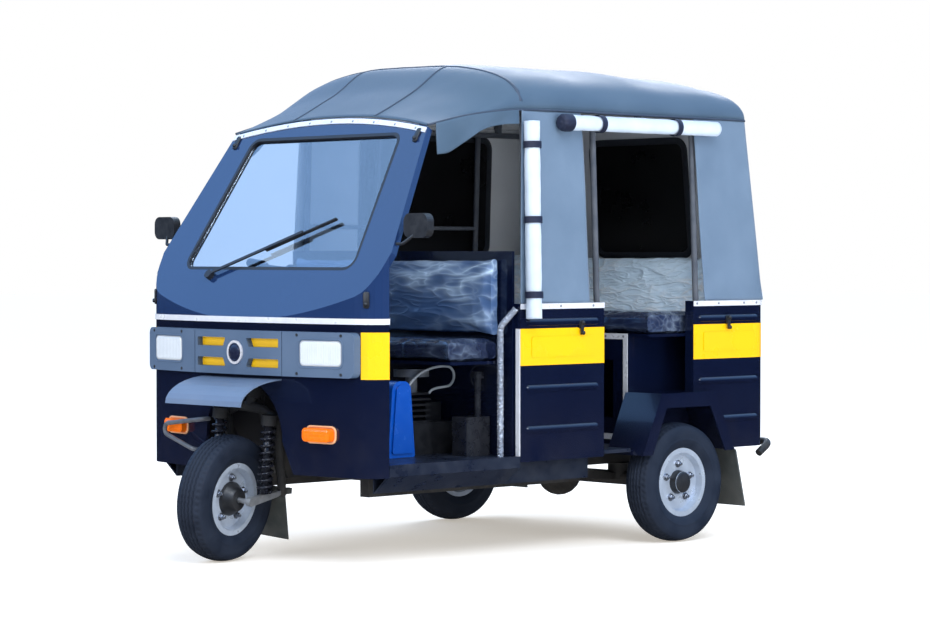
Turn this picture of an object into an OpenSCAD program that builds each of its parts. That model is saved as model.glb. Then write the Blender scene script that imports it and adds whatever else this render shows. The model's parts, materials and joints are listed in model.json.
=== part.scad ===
// Three-wheeled passenger auto rickshaw with a soft canopy, one steered front wheel and two rear wheels.
// Millimetres. The front faces -Y, the vehicle's left is +X, +Z is up, and the ground is z = 0.
// Stations ("_st") are measured backwards from the front axle.

/* [Wheels] */
// Distance between the front and rear axles
wheelbase = 1828; // [1780:1:1880]
// Distance between the centres of the rear tyres
rear_track = 1330; // [1310:2:1340]
// Outside diameter of a tyre
tyre_d = 490; // [470:1:500]
// Width of a tyre
tyre_w = 125; // [110:1:130]
// Diameter of the rim over its flanges
rim_d = 282; // [262:1:300]
// Radius of the tread's crown across the tyre
crown_r = 125; // [110:1:160]

/* [Steering] */
// Angle of the steering axis from the vertical
fork_rake = 22; // [15:1:26]
// Angle to the left at which the front wheel is parked
parked_steer = 15; // [0:1:20]
// Diameter of the steering stem
stem_d = 44; // [36:1:50]
// Length of the handlebar from grip to grip
handlebar_l = 610; // [560:5:700]
// Distance between the two front springs
spring_spread = 236; // [224:2:250]

/* [Body] */
// Width over the body panels
body_w = 1384; // [1340:2:1400]
// Thickness of a pressed body panel with its inner skin
panel_t = 14; // [8:1:18]
// Front axle to the middle of the nose
nose_st = 78; // [60:1:90]
// Front axle to the front edge of the driver's doorway
door_front_st = 224; // [215:1:240]
// Length of the driver's doorway
front_door_l = 684; // [640:1:720]
// Length of the panel between the two left doorways
mid_panel_l = 472; // [420:1:500]
// Length of the passengers' doorway
rear_door_l = 536; // [500:1:560]
// Length of the panel behind the passengers' doorway
quarter_l = 477; // [460:1:520]
// Front axle to the back of the rear bumper
bumper_reach = 2444; // [2440:1:2500]
// Height of the cabin floor
floor_z = 395; // [380:1:405]
// Height of the waist, where the panels end and the canvas starts
waist_z = 990; // [960:1:1010]
// Height of the bright strip below the windscreen
strip_z = 931; // [920:1:945]
// Angle of the windscreen from the vertical
screen_rake = 30.8; // [26:0.1:33]
// Height of the lower edge of the yellow band
band_z = 748; // [735:1:760]
// Height of the yellow band
band_h = 144; // [120:1:160]

/* [Canopy] */
// Height of the roof's crown
roof_h = 1955; // [1930:1:1990]
// Rise of the roof's crown over the seam with the side canvas
roof_rise = 208; // [190:1:225]
// Width of the canopy at the seam
canopy_w = 1330; // [1310:2:1350]
// Thickness of the lined canvas
canvas_t = 6; // [4:1:8]
// Diameter of a rolled side curtain
roll_d = 68; // [56:1:76]

/* [Seats] */
// Height of the top of the partition behind the driver
partition_h = 1195; // [1150:1:1220]
// Height of the underside of the passengers' cushion
seat_z = 855; // [840:1:870]
// Thickness of the passengers' cushion
seat_t = 85; // [60:1:95]

/* [Hidden] */
$fn = 64;

// Overrun of a cut past the face it opens
over = 20;
// Clearance between pieces that seat on each other
seat_gap = 0.3;
// Radial clearance of a turning fit
bearing_gap = 0.05;
// Straight steps in a rounded corner
arc_steps = 6;
// Sides of a bent tube
tube_sides = 12;
// Width of the widest nose circle's facets, for a true curve
nose_fn = 720;

half_w = body_w / 2;
seam_z = roof_h - roof_rise;
tyre_r = tyre_d / 2;
front_axle_y = -(bumper_reach - tyre_r) / 2;
rear_st = wheelbase;
partition_st = door_front_st + front_door_l;
mid_end_st = partition_st + mid_panel_l;
quarter_st = mid_end_st + rear_door_l;
tub_end_st = quarter_st + quarter_l;

// Colours
paint_colour = [0.05, 0.06, 0.10];
yellow_colour = [0.98, 0.80, 0.05];
canvas_colour = [0.45, 0.50, 0.58];
plastic_colour = [0.42, 0.45, 0.50];
steel_colour = [0.12, 0.12, 0.13];
bright_colour = [0.85, 0.86, 0.87];
rubber_colour = [0.06, 0.06, 0.06];
vinyl_colour = [0.10, 0.12, 0.25];

// Fillet of one corner of an outline: p is the corner, a and b are its neighbours
function corner_arc(a, p, b, r) = r == 0 ? [p] : let (
    u = (a - p) / norm(a - p), w = (b - p) / norm(b - p),
    half = acos(u * w) / 2,
    centre = p + (u + w) / norm(u + w) * r / sin(half),
    from = p + u * r / tan(half) - centre, to = p + w * r / tan(half) - centre,
    turn = sign(cross(from, to)) * (180 - 2 * half), start = atan2(from[1], from[0]))
    [for (i = [0:arc_steps]) let (t = start + turn * i / arc_steps) centre + r * [cos(t), sin(t)]];
// Outline with its corners rounded, by one radius or by one radius for each corner
function rounded(pts, r) = let (n = len(pts)) [for (i = [0:n - 1])
    each corner_arc(pts[(i + n - 1) % n], pts[i], pts[(i + 1) % n], is_list(r) ? r[i] : r)];
function rectangle(x0, y0, x1, y1) = [[x0, y0], [x1, y0], [x1, y1], [x0, y1]];

// Moves stations to the part's frame
module placed() translate([0, front_axle_y, 0]) children();
// A piece and its twin on the other side
module paired() {
    children();
    mirror([1, 0, 0]) children();
}
// Outline of station and height, extruded across the vehicle
module across(x0, x1) translate([x0, 0, 0]) rotate([90, 0, 90]) linear_extrude(x1 - x0) children();
// Outline of width and height, extruded along the vehicle
module along(st0, st1) translate([0, st1, 0]) rotate([90, 0, 0]) linear_extrude(st1 - st0) children();
// Outline of width and station, extruded upwards
module upward(z0, z1) translate([0, 0, z0]) linear_extrude(z1 - z0) children();
// Round bar between two points
module bar(p, q, d) {
    v = q - p;
    translate(p) rotate([0, acos(v[2] / norm(v)), atan2(v[1], v[0])]) cylinder(d = d, h = norm(v));
}
// Points of a round bend at p, between its neighbours a and b
function bend_points(a, p, b, r) = let (
    u = (a - p) / norm(a - p), w = (b - p) / norm(b - p), half = acos(u * w) / 2,
    c = p + (u + w) / norm(u + w) * r / sin(half),
    from = p + u * r / tan(half) - c, to = p + w * r / tan(half) - c,
    n = cross(from, to) / norm(cross(from, to)), side = cross(n, from))
    [for (i = [0:arc_steps]) let (t = (180 - 2 * half) * i / arc_steps) c + from * cos(t) + side * sin(t)];
// Path with round bends at its inner points
function bent_path(pts, r) = let (last = len(pts) - 1) concat([pts[0]],
    [for (i = [1:1:last - 1]) each bend_points(pts[i - 1], pts[i], pts[i + 1], r)], [pts[last]]);
function unit(v) = v / norm(v);
// Tube of round section along a path, as rings that keep their turn from one to the next
module swept_tube(path, d) {
    n = len(path);
    way = [for (i = [0:n - 1]) unit(path[min(i + 1, n - 1)] - path[max(i - 1, 0)])];
    start = abs(way[0][2]) < 0.9 ? [0, 0, 1] : [1, 0, 0];
    up = [for (i = 0, v = unit(start - way[0] * (start * way[0])); i < n; i = i + 1,
        v = i < n ? unit(v - way[i] * (v * way[i])) : v) v];
    rings = [for (i = [0:n - 1]) let (across = cross(way[i], up[i])) for (k = [0:tube_sides - 1])
        let (a = 360 * k / tube_sides) path[i] + d / 2 * (up[i] * cos(a) + across * sin(a))];
    walls = [for (i = [0:n - 2]) for (k = [0:tube_sides - 1]) let (j = (k + 1) % tube_sides)
        [i * tube_sides + k, (i + 1) * tube_sides + k, (i + 1) * tube_sides + j, i * tube_sides + j]];
    caps = [[for (k = [0:tube_sides - 1]) k], [for (k = [tube_sides - 1:-1:0]) (n - 1) * tube_sides + k]];
    polyhedron(rings, concat(walls, caps), convexity = 6);
}
// Bent tube through points
module bent_tube(points, d, r) swept_tube(bent_path(points, r), d);
// Pressed bead with round ends along the vehicle, half sunk in a panel
module bead(x, st0, st1, z, d) translate([x, st0, z]) rotate([-90, 0, 0]) rotate_extrude() intersection() {
    union() {
        translate([0, d / 2]) square([d / 2, st1 - st0 - d]);
        translate([0, d / 2]) circle(d = d);
        translate([0, st1 - st0 - d / 2]) circle(d = d);
    }
    square([d, st1 - st0]);
}

// Steering geometry: the axis passes a point under the nose and leans back by the rake
axis_st = 100;
axis_z = 550;
axis_dir = [0, sin(fork_rake), cos(fork_rake)];
function axis_point(z) = [0, axis_st + (z - axis_z) * tan(fork_rake), z];
wheel_lean = asin(sin(parked_steer) * sin(fork_rake));
wheel_behind = (axis_st + (tyre_r - axis_z) * tan(fork_rake)) * -cos(fork_rake);
front_axle_z = (tyre_r - crown_r) * cos(wheel_lean) + crown_r
    - wheel_behind * (1 - cos(parked_steer)) * sin(fork_rake);
// Turns a piece of the steering from straight ahead to the parked angle
module steered() translate([0, front_axle_y + axis_st, axis_z]) rotate([-fork_rake, 0, 0])
    rotate([0, 0, parked_steer]) rotate([fork_rake, 0, 0]) translate([0, -axis_st, -axis_z]) children();

// Tyres and rims: profiles of offset from the wheel's middle plane and radius
rim_r = rim_d / 2;
bead_seat = 14;
rim_t = 6;
rim_half = 46;
well_depth = 15;
disc_out = 14;
disc_hole_r = 48;
bead_r = rim_r - bead_seat;
tread_half_share = 0.37;
shoulder_drop_share = 0.055;
bulge_r_share = 0.76;
// Rows of offset as a share of the width, and of radius as a share of the way from the flange to the crown
sidewall_shares = [[0.455, 0.83], [0.5, 0.55], [0.49, 0.3], [0.42, 0.09]];

function crown_radius(x) = tyre_r - crown_r + sqrt(crown_r * crown_r - x * x);
function tyre_half_profile() = concat(
    [for (i = [0:3]) let (x = tyre_w * tread_half_share * i / 3) [x, crown_radius(x)]],
    [for (s = sidewall_shares) [tyre_w * s[0], rim_r + (tyre_r - rim_r) * s[1]]],
    [[rim_half + seat_gap, rim_r + seat_gap], [rim_half - rim_t - seat_gap, rim_r + seat_gap],
        [rim_half - rim_t - seat_gap, bead_r + seat_gap]]);
module tyre() {
    half = tyre_half_profile();
    back = [for (i = [len(half) - 1:-1:1]) [-half[i][0], half[i][1]]];
    rotate([0, 90, 0]) rotate_extrude($fn = 64) polygon([for (p = concat(half, back)) [p[1], p[0]]]);
}
// Split steel rim: two flanges, a drop centre, a dished disc, and a hub with its bearing bore
function barrel_inside(x) = bead_r - rim_t - well_depth + well_depth * x / rim_half;
module rim(bore_d, hub_d, hub_in, hub_out, disc_at) rotate([0, 90, 0]) rotate_extrude($fn = 64)
    polygon([[rim_r, rim_half], [rim_r, rim_half - rim_t], [bead_r, rim_half - rim_t],
        [bead_r, rim_half - rim_t - bead_seat], [bead_r - well_depth, 0],
        [bead_r, -rim_half + rim_t + bead_seat], [bead_r, -rim_half + rim_t],
        [rim_r, -rim_half + rim_t], [rim_r, -rim_half], [bead_r - rim_t, -rim_half],
        [barrel_inside(0), 0], [barrel_inside(disc_at), disc_at], [disc_hole_r + 2 * rim_t, disc_at],
        [disc_hole_r + 2 * rim_t, disc_at - rim_t], [hub_d / 2, disc_at - rim_t], [hub_d / 2, -hub_in],
        [bore_d / 2, -hub_in], [bore_d / 2, hub_out], [hub_d / 2, hub_out], [hub_d / 2, disc_at + rim_t],
        [barrel_inside(disc_at + rim_t), disc_at + rim_t], [bead_r - rim_t, rim_half]]);

// Front wheel and its suspension, straight ahead
axle_d = 20;
hub_half = 64;
front_hub_d = 84;
arm_t = 20;
arm_depth = 34;
arm_x = spring_spread / 2;
pivot_st = 205;
pivot_z = 268;
leg_d = 34;
crown_z = 562;
crown_rise = 30;
crown_d = 40;
knuckle = 6;
spring_d = 62;
spring_wire = 11;
damper_d = 40;
spring_turns = 9;
coil_share = 0.8;
spring_st = 88;
pivot_d = 30;
head_low_z = 625;
head_high_z = 800;
head_d = 66;
stem_top_z = 1060;
bar_d = 26;
grip_d = 36;
grip_l = 120;
bar_back = 140;
bar_rise = 60;
grip_shares = [0.25, 0.9];
crown_sweep = 18;
crown_top = axis_point(crown_z + crown_rise);
leg_st = crown_top[1] + crown_sweep;
spring_top_z = crown_z - crown_d / 2 - knuckle;
link_end_st = pivot_st - leg_d / 2 - knuckle / 2 - seat_gap;
link_end_z = pivot_z + arm_depth / 6;
function link_top(st) = front_axle_z + arm_depth / 2 + (link_end_z - front_axle_z
    - arm_depth / 2) * st / link_end_st;

module fork() color(steel_colour) steered() {
    bent_tube([[-arm_x, leg_st, crown_z], [-arm_x / 2, crown_top[1], crown_z + crown_rise],
        [arm_x / 2, crown_top[1], crown_z + crown_rise], [arm_x, leg_st, crown_z]], crown_d, crown_d);
    bar(crown_top, axis_point(stem_top_z), stem_d);
    paired() {
        translate([arm_x, leg_st, crown_z]) sphere(d = crown_d + knuckle);
        bar([arm_x, leg_st, crown_z], [arm_x, pivot_st, pivot_z], leg_d);
        translate([arm_x - arm_t / 2, pivot_st, pivot_z]) rotate([0, 90, 0]) cylinder(d = leg_d
            + knuckle, h = arm_t);
        translate([arm_x, spring_st, spring_top_z]) cylinder(d = spring_d, h = crown_d);
    }
}
// Leading links that carry the front axle
module front_links() color(bright_colour) steered() {
    paired() difference() {
        across(arm_x - arm_t / 2, arm_x + arm_t / 2) {
            translate([0, front_axle_z]) circle(d = arm_depth);
            polygon([[0, front_axle_z - arm_depth / 2], [link_end_st - over, pivot_z - arm_depth / 2],
                [link_end_st, pivot_z - arm_depth / 3], [link_end_st, link_end_z],
                [0, front_axle_z + arm_depth / 2]]);
        }
    }
    translate([-arm_x, 0, front_axle_z]) rotate([0, 90, 0]) cylinder(d = axle_d, h = 2 * arm_x);
}
// Coil springs round their dampers, between the links and the fork
module front_springs() color(rubber_colour) steered() {
    low = link_top(spring_st + damper_d / 2) + seat_gap;
    high = spring_top_z - seat_gap;
    pitch = (high - low) / spring_turns;
    paired() translate([arm_x, spring_st, low]) rotate_extrude() {
        square([damper_d / 2, high - low]);
        for (i = [0:spring_turns - 1]) translate([damper_d / 2 + spring_wire / 2, pitch * (i + 0.5)])
            circle(d = pitch * coil_share);
    }
}
module handlebar() color(steel_colour) steered() {
    top = axis_point(stem_top_z) + axis_dir * seat_gap;
    head = top + axis_dir * bar_rise;
    corner = head + [handlebar_l / 2 - grip_l, bar_back * 2 / 3, 0];
    reach = head + [handlebar_l / 2, bar_back, 0] - corner;
    half = [head + [handlebar_l / 4, 0, 0], corner, corner + reach * grip_shares[1]];
    bar(top, head, stem_d);
    translate(head) sphere(d = stem_d + knuckle);
    bent_tube([for (i = [2:-1:0]) [-half[i][0], half[i][1], half[i][2]], each half], bar_d, bar_d * 2);
    paired() bar(corner + reach * grip_shares[0], corner + reach, grip_d);
}
flap_w = 190;
flap_t = 6;
flap_low_z = 66;
flap_low_st = 300;
flap_reach = 32;
module front_mudflap() color(rubber_colour) steered() {
    top = [pivot_st + leg_d / 2 + knuckle / 2 + seat_gap, pivot_z];
    paired() across(arm_x - arm_t / 2, arm_x + arm_t / 2) polygon([top + [0, -leg_d / 3],
        top + [flap_reach, -leg_d / 3], top + [flap_reach, leg_d / 3], top + [0, leg_d / 3]]);
    across(-arm_x, arm_x) polygon([top + [flap_reach - flap_t, -leg_d / 4], top + [flap_reach, -leg_d / 4],
        top + [flap_reach, leg_d / 4], top + [flap_reach - flap_t, leg_d / 4]]);
    across(-flap_w / 2, flap_w / 2) polygon([top + [flap_reach - flap_t, 0], [flap_low_st, flap_low_z],
        [flap_low_st + flap_t, flap_low_z], top + [flap_reach, 0]]);
}
module front_tyre() color(rubber_colour) steered() translate([0, 0, front_axle_z]) tyre();
module front_rim() color(bright_colour) steered() translate([0, 0, front_axle_z])
    rim(axle_d + 2 * bearing_gap, front_hub_d, hub_half, hub_half, disc_out);

// Rear axle: a beam with a differential, carried by trailing arms under the chassis rails
beam_d = 58;
diff_d = 190;
stub_d = 36;
stub_end = 48;
rear_hub_d = 88;
rear_hub_in = 40;
hub_gap = 8;
beam_half = rear_track / 2 - rear_hub_in - hub_gap;
rail_x = 350;
rail_w = 50;
arm_d = 44;
rear_spring_d = 90;
diff_taper = 30;
axle_end = rear_track / 2 + stub_end;
axle_ball = [for (i = [-5:5]) diff_d / 2 * [cos(13 * i), sin(13 * i)]];
module rear_axle() color(steel_colour) placed() {
    translate([0, rear_st, tyre_r]) rotate([0, 90, 0]) rotate_extrude() polygon(concat([[0, -axle_end],
        [stub_d / 2, -axle_end],
        [stub_d / 2, -beam_half], [beam_d / 2, -beam_half], [beam_d / 2, -diff_d / 2 - diff_taper]],
            axle_ball,
        [[beam_d / 2, diff_d / 2 + diff_taper], [beam_d / 2, beam_half], [stub_d / 2, beam_half],
            [stub_d / 2, axle_end],
        [0, axle_end]]));
    paired() {
        across(rail_x - arm_d / 2, rail_x + arm_d / 2) polygon([[rail_kick_st + rail_h + seat_gap,
            rail_z + rail_h / 6],
            [rear_st + beam_d / 4, tyre_r - beam_d / 5], [rear_st + beam_d / 4, tyre_r + beam_d / 6],
            [rail_kick_st + rail_h + seat_gap, rail_z + rail_h * 5 / 6]]);
        translate([rail_x, rear_st, tyre_r - beam_d / 8]) cylinder(d = rear_spring_d,
            h = rail_high_z - seat_gap - tyre_r + beam_d / 8);
    }
}
module rear_rim(side) placed() translate([side * rear_track / 2, rear_st, tyre_r])
    rotate([0, 0, side > 0 ? 0 : 180])
    rim(stub_d + 2 * bearing_gap, rear_hub_d, rear_hub_in, stub_end + hub_gap / 4, disc_out);
module rear_tyre(side) placed() translate([side * rear_track / 2, rear_st, tyre_r]) tyre();
module rear_tyre_left() color(rubber_colour) rear_tyre(1);
module rear_tyre_right() color(rubber_colour) rear_tyre(-1);
module rear_rim_left() color(bright_colour) rear_rim(1);
module rear_rim_right() color(bright_colour) rear_rim(-1);

// Chassis: two rails that kick up over the rear axle, cross members, and a neck to the steering head
rail_z = 245;
rail_h = 70;
rail_high_z = 308;
rail_front_st = 400;
rail_kick_st = 1500;
rail_end_st = tub_end_st - over;
cross_h = 50;
cross_shares = [0, 0.33, 0.66, 1];
neck_w = 60;
neck_depth = 55;
neck_low_st = 338;
neck_knee = [232, 575];
tow_bore_d = 22;
tow_lug_w = 60;
tow_lug_t = 16;
cross_half = rail_x - rail_w / 2 - seat_gap;
module chassis_frame() color(steel_colour) placed() {
    paired() across(rail_x - rail_w / 2, rail_x + rail_w / 2) polygon([[rail_front_st, rail_z],
        [rail_kick_st + rail_h, rail_z], [rail_kick_st + rail_h, rail_high_z], [rail_end_st, rail_high_z],
        [rail_end_st, floor_under_z - seat_gap], [rail_front_st, floor_under_z - seat_gap]]);
    for (s = cross_shares) translate([-cross_half, rail_front_st + (rail_kick_st - rail_front_st) * s,
        rail_high_z]) cube([2 * cross_half, rail_w, cross_h]);
    difference() {
        union() {
            translate([-cross_half, rail_end_st - rail_w, rail_high_z])
                cube([2 * cross_half, rail_w, cross_h]);
            translate([-tow_lug_w / 2, rail_end_st - tow_lug_t, rail_high_z - tow_lug_w])
                cube([tow_lug_w, tow_lug_t, tow_lug_w + over]);
        }
        translate([0, rail_end_st + over, rail_high_z - tow_lug_w / 2]) rotate([90, 0, 0])
            cylinder(d = tow_bore_d, h = tow_lug_t + 2 * over);
    }
    difference() {
        union() {
            across(-neck_w / 2, neck_w / 2) polygon([[neck_low_st - neck_depth, rail_high_z],
                [rail_front_st - seat_gap, rail_high_z], [rail_front_st - seat_gap, floor_under_z - seat_gap],
                [neck_low_st - seat_gap, floor_under_z - seat_gap],
                neck_knee + [-seat_gap, -seat_gap], axis_flat(head_high_z - over),
                axis_flat(head_low_z + over) + [head_d / 3, 0],
                neck_knee + [-neck_depth * 0.8, -neck_depth / 2]]);
            bar(axis_point(head_low_z), axis_point(head_high_z), head_d);
        }
        bar(axis_point(head_low_z - over), axis_point(head_high_z + over), stem_d + 2 * bearing_gap);
    }
}
function axis_flat(z) = [axis_point(z)[1], z];

// Wheel well: a folded sheet over the front wheel, with side walls
well_half = 300;
well_t = 6;
well_back = 26;
well_top_z = 700;
well_top = [nose_st + panel_t + well_back, well_top_z];
module wheel_well() color(paint_colour) placed() difference() {
    union() {
        across(-well_half, well_half) polygon([[neck_low_st, floor_under_z], neck_knee, well_top,
            well_top + [well_t, well_t], neck_knee + [well_t, well_t], [neck_low_st + well_t, floor_z],
            [neck_low_st + well_t, floor_under_z]]);
        paired() across(well_half - well_t, well_half) polygon([[neck_low_st, floor_under_z], neck_knee,
            well_top,
            [well_top[0], floor_under_z]]);
    }
    bar(axis_point(head_low_z - over), axis_point(head_high_z + over), head_d + 2 * seat_gap);
    across(-neck_w / 2 - seat_gap, neck_w / 2 + seat_gap) polygon([neck_knee + [2 * seat_gap, -seat_gap],
        axis_flat(head_high_z) + [2 * seat_gap, 0], axis_flat(head_high_z) - [neck_depth, 0],
        neck_knee - [2 * neck_depth, 0]]);
}

// Floor and sills
floor_t = 14;
floor_under_z = floor_z - floor_t;
sill_z = 372;
sill_depth = 60;
skirt_in = 90;
skirt_drop = 112;
wheelhouse_gap = 60;
wheelhouse_x = rear_track / 2 - tyre_w / 2 - wheelhouse_gap;
module flange_notch(st0, st1) polygon(rectangle(half_w - flange_w - seat_gap, st0 - seat_gap, half_w,
    st1 + seat_gap));
module floor_pan() color(paint_colour) placed() {
    upward(floor_under_z, floor_z) difference() {
        union() {
            nose_plan(panel_t + seat_gap, door_front_st + over);
            tub_plan(panel_t + seat_gap, door_front_st + seat_gap);
        }
        polygon(rectangle(-well_half - seat_gap, 0, well_half + seat_gap, neck_low_st + well_t + seat_gap));
        paired() polygon(rectangle(half_w - flange_w - seat_gap, door_front_st - panel_t - seat_gap, half_w,
            door_front_st + seat_gap));
        paired() polygon(rectangle(wheelhouse_x - seat_gap, fender_profile[0][0] - seat_gap,
            half_w, fender_profile[3][0] + seat_gap));
        paired() flange_notch(partition_st, partition_st + panel_t);
        flange_notch(mid_end_st - panel_t, mid_end_st);
        flange_notch(quarter_st, quarter_st + panel_t);
    }
    paired() across(half_w - skirt_in - well_t, half_w - skirt_in) polygon(rectangle(door_front_st
        + seat_gap,
        floor_z - skirt_drop, mid_end_st, floor_z));
    paired() along(door_front_st + seat_gap, partition_st - seat_gap) polygon([[half_w - skirt_in - well_t,
        floor_z - skirt_drop], [half_w - skirt_in, floor_z - skirt_drop], [half_w,
            floor_under_z - sill_depth / 2],
        [half_w, floor_z], [half_w - panel_t - over, floor_z], [half_w - panel_t - over, floor_under_z],
        [half_w - well_t, floor_under_z - sill_depth / 3]]);
}

// Nose: one plan outline serves the apron, the cowl, the strip and the band
nose_r = 3200;
nose_corner = 120;
nose_steps = 16;
corner_x = half_w - nose_corner;
corner_st = nose_st + nose_r - sqrt(pow(nose_r - nose_corner, 2) - corner_x * corner_x);
nose_turn = asin(corner_x / (nose_r - nose_corner));
apron_z = 345;
flange_w = 46;
arch_half = 231;
arch_foot_half = 300;
arch_centre_z = 470;
// Right half of the nose from the middle to the doorway, set back by d: a wide arc and its tangent corner
function nose_half(d) = concat([for (i = [0:nose_steps - 1]) let (a = nose_turn * i / nose_steps)
    [(nose_r - d) * sin(a), nose_st + nose_r - (nose_r - d) * cos(a)]], [for (i = [0:arc_steps])
    let (a = nose_turn + (90 - nose_turn) * i / arc_steps)
    [corner_x + (nose_corner - d) * sin(a), corner_st - (nose_corner - d) * cos(a)]], [[half_w - d,
        corner_st + over]]);
module nose_plan(d, end) intersection() {
    polygon(concat([for (i = [len(nose_half(d)) - 1:-1:1]) [-nose_half(d)[i][0], nose_half(d)[i][1]]],
        nose_half(d)));
    polygon(rectangle(-body_w, nose_st - over, body_w, end));
}
module nose_skin(d, t) difference() {
    nose_plan(d, door_front_st);
    nose_plan(d + t, door_front_st + over);
}
module arch_cut() along(nose_st - over, door_front_st + over) {
    polygon([[-arch_foot_half, apron_z - over], [arch_foot_half, apron_z - over], [arch_half,
        arch_centre_z],
        [-arch_half, arch_centre_z]]);
    translate([0, arch_centre_z]) circle(arch_half);
}
module front_apron() color(paint_colour) placed() difference() {
    union() {
        upward(apron_z, strip_z) nose_skin(0, panel_t);
        paired() upward(apron_z, strip_z) polygon(rectangle(half_w - flange_w, door_front_st - panel_t,
            half_w - panel_t, door_front_st));
    }
    arch_cut();
}

// Cowl and windscreen surround, in the windscreen's plane: across the vehicle and up the slope
frame_t = 28;
header_drop = 231;
header_bow = 52;
glass_drop = 70;
screen_top_z = roof_h - header_drop;
screen_shoulder_z = 1190;
screen_end_z = screen_top_z - header_bow;
screen_end_half = 580;
screen_low_z = 1122;
glass_top_z = screen_top_z - glass_drop;
glass_low_half = 520;
glass_top_half = 452;
glass_corner = 55;
seal_w = 14;
glass_t = 6;
cowl_top_z = strip_z + (door_front_st - nose_st) / tan(screen_rake);
function slope(z) = (z - strip_z) / cos(screen_rake);
function screen_st(z) = nose_st + (z - strip_z) * tan(screen_rake);
module on_screen() translate([0, nose_st, strip_z]) rotate([90 - screen_rake, 0, 0]) children();
function glass_outline(d) = rounded([[-glass_low_half + d, slope(screen_low_z) + d],
    [glass_low_half - d, slope(screen_low_z) + d], [glass_top_half - d, slope(glass_top_z) - d],
    [-glass_top_half + d, slope(glass_top_z) - d]], glass_corner - d);
function header_arch(half, end, top) = [for (i = [0:12]) let (x = half * (1 - i / 6))
    [x, end + (top - end) * (1 - x * x / half / half)]];
function frame_outline() = concat([[-half_w + over, slope(screen_low_z) - over], [half_w - over,
    slope(screen_low_z) - over],
    [half_w, slope(screen_shoulder_z)]], header_arch(screen_end_half, slope(screen_end_z),
        slope(screen_top_z)),
    [[-half_w, slope(screen_shoulder_z)]]);
function frame_half(z) = half_w - (half_w - screen_end_half) * (z - screen_shoulder_z) / (screen_end_z
    - screen_shoulder_z);
module front_cowl() color(paint_colour) placed() {
    difference() {
        intersection() {
            upward(strip_z, cowl_top_z + over) nose_plan(0, door_front_st);
            across(-half_w - over, half_w + over) polygon([[nose_st, strip_z], [door_front_st, cowl_top_z],
                [door_front_st, strip_z]]);
        }
        intersection() {
            upward(strip_z - over, cowl_top_z + over) nose_plan(panel_t, door_front_st + over);
            across(-half_w, half_w) polygon([[nose_st + panel_t / cos(screen_rake)
                - over * tan(screen_rake), strip_z - over],
                [door_front_st + over, cowl_top_z + (over - panel_t / cos(screen_rake)) / tan(screen_rake)],
                [door_front_st + over, strip_z - over]]);
        }
        on_screen() translate([0, 0, -frame_t - over]) linear_extrude(frame_t
            + 2 * over) polygon(glass_outline(0));
    }
    on_screen() translate([0, 0, -frame_t]) linear_extrude(frame_t) difference() {
        polygon(frame_outline());
        polygon(glass_outline(0));
    }
}
module windscreen_seal() color(rubber_colour) placed() on_screen()
    translate([0, 0, -frame_t]) linear_extrude(frame_t) difference() {
        polygon(glass_outline(seat_gap));
        polygon(glass_outline(seal_w));
    }
module windscreen_glass() color([0.2, 0.25, 0.28, 0.5]) placed() on_screen()
    translate([0, 0, -frame_t / 2 - glass_t / 2]) linear_extrude(glass_t) polygon(glass_outline(seal_w
        + seat_gap));

// Grille panel over the nose, with two rows of slots and the lamps' openings
grille_z = 720;
grille_h = 170;
grille_half = 622;
grille_t = 33;
grille_corner = 24;
slot_h = 34;
slot_in = 62;
slot_out = 246;
slot_taper = 16;
slot_corner = 5;
slot_shares = [0.27, 0.73];
groove_x = 265;
groove_w = 4;
groove_depth = 5;
disc_proud = 6;
disc_recess = 4;
disc_face_share = 0.8;
insert_t = 8;
disc_d = 92;
lamp_w = 206;
lamp_h = 96;
lamp_x = 462;
lamp_share = 0.53;
lamp_corner = 18;
lamp_z = grille_z + grille_h * lamp_share;
module nose_ring(t0, t1, z0, z1) upward(z0, z1) translate([0, nose_st + nose_r]) difference() {
    circle(nose_r + t1, $fn = nose_fn);
    circle(nose_r + t0, $fn = nose_fn);
}
module lamp_outline(d) paired() translate([lamp_x, lamp_z]) polygon(rounded(
    rectangle(d - lamp_w / 2, d - lamp_h / 2, lamp_w / 2 - d, lamp_h / 2 - d), lamp_corner));
// Slots whose inner ends slant round the disc
module slot_outline(d) paired() for (s = slot_shares) translate([0, grille_z
    + grille_h * s]) polygon(rounded([
    [slot_in + d + (s > 0.5 ? slot_taper : 0), d - slot_h / 2], [slot_out - d, d - slot_h / 2],
    [slot_out - d, slot_h / 2 - d], [slot_in + d + (s > 0.5 ? 0 : slot_taper), slot_h / 2 - d]],
        slot_corner - d));
module grille_panel() color(plastic_colour) placed() difference() {
    intersection() {
        nose_ring(seat_gap, grille_t, grille_z, grille_z + grille_h);
        along(nose_st - 2 * grille_t, door_front_st) polygon(rounded(rectangle(-grille_half, grille_z,
            grille_half,
            grille_z + grille_h), grille_corner));
    }
    along(nose_st - 2 * grille_t, door_front_st) {
        lamp_outline(0);
        slot_outline(0);
        translate([0, grille_z + grille_h / 2]) circle(d = disc_d);
    }
    intersection() {
        nose_ring(grille_t - groove_depth, grille_t + over, grille_z - over, grille_z + grille_h + over);
        along(nose_st - 3 * grille_t, door_front_st) paired() polygon(rectangle(groove_x - groove_w / 2,
            grille_z - over,
            groove_x + groove_w / 2, grille_z + grille_h + over));
    }
}
module grille_inserts() color(yellow_colour) placed() intersection() {
    nose_ring(seat_gap, insert_t, grille_z, grille_z + grille_h);
    along(nose_st - 2 * grille_t, door_front_st) slot_outline(seat_gap);
}
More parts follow.
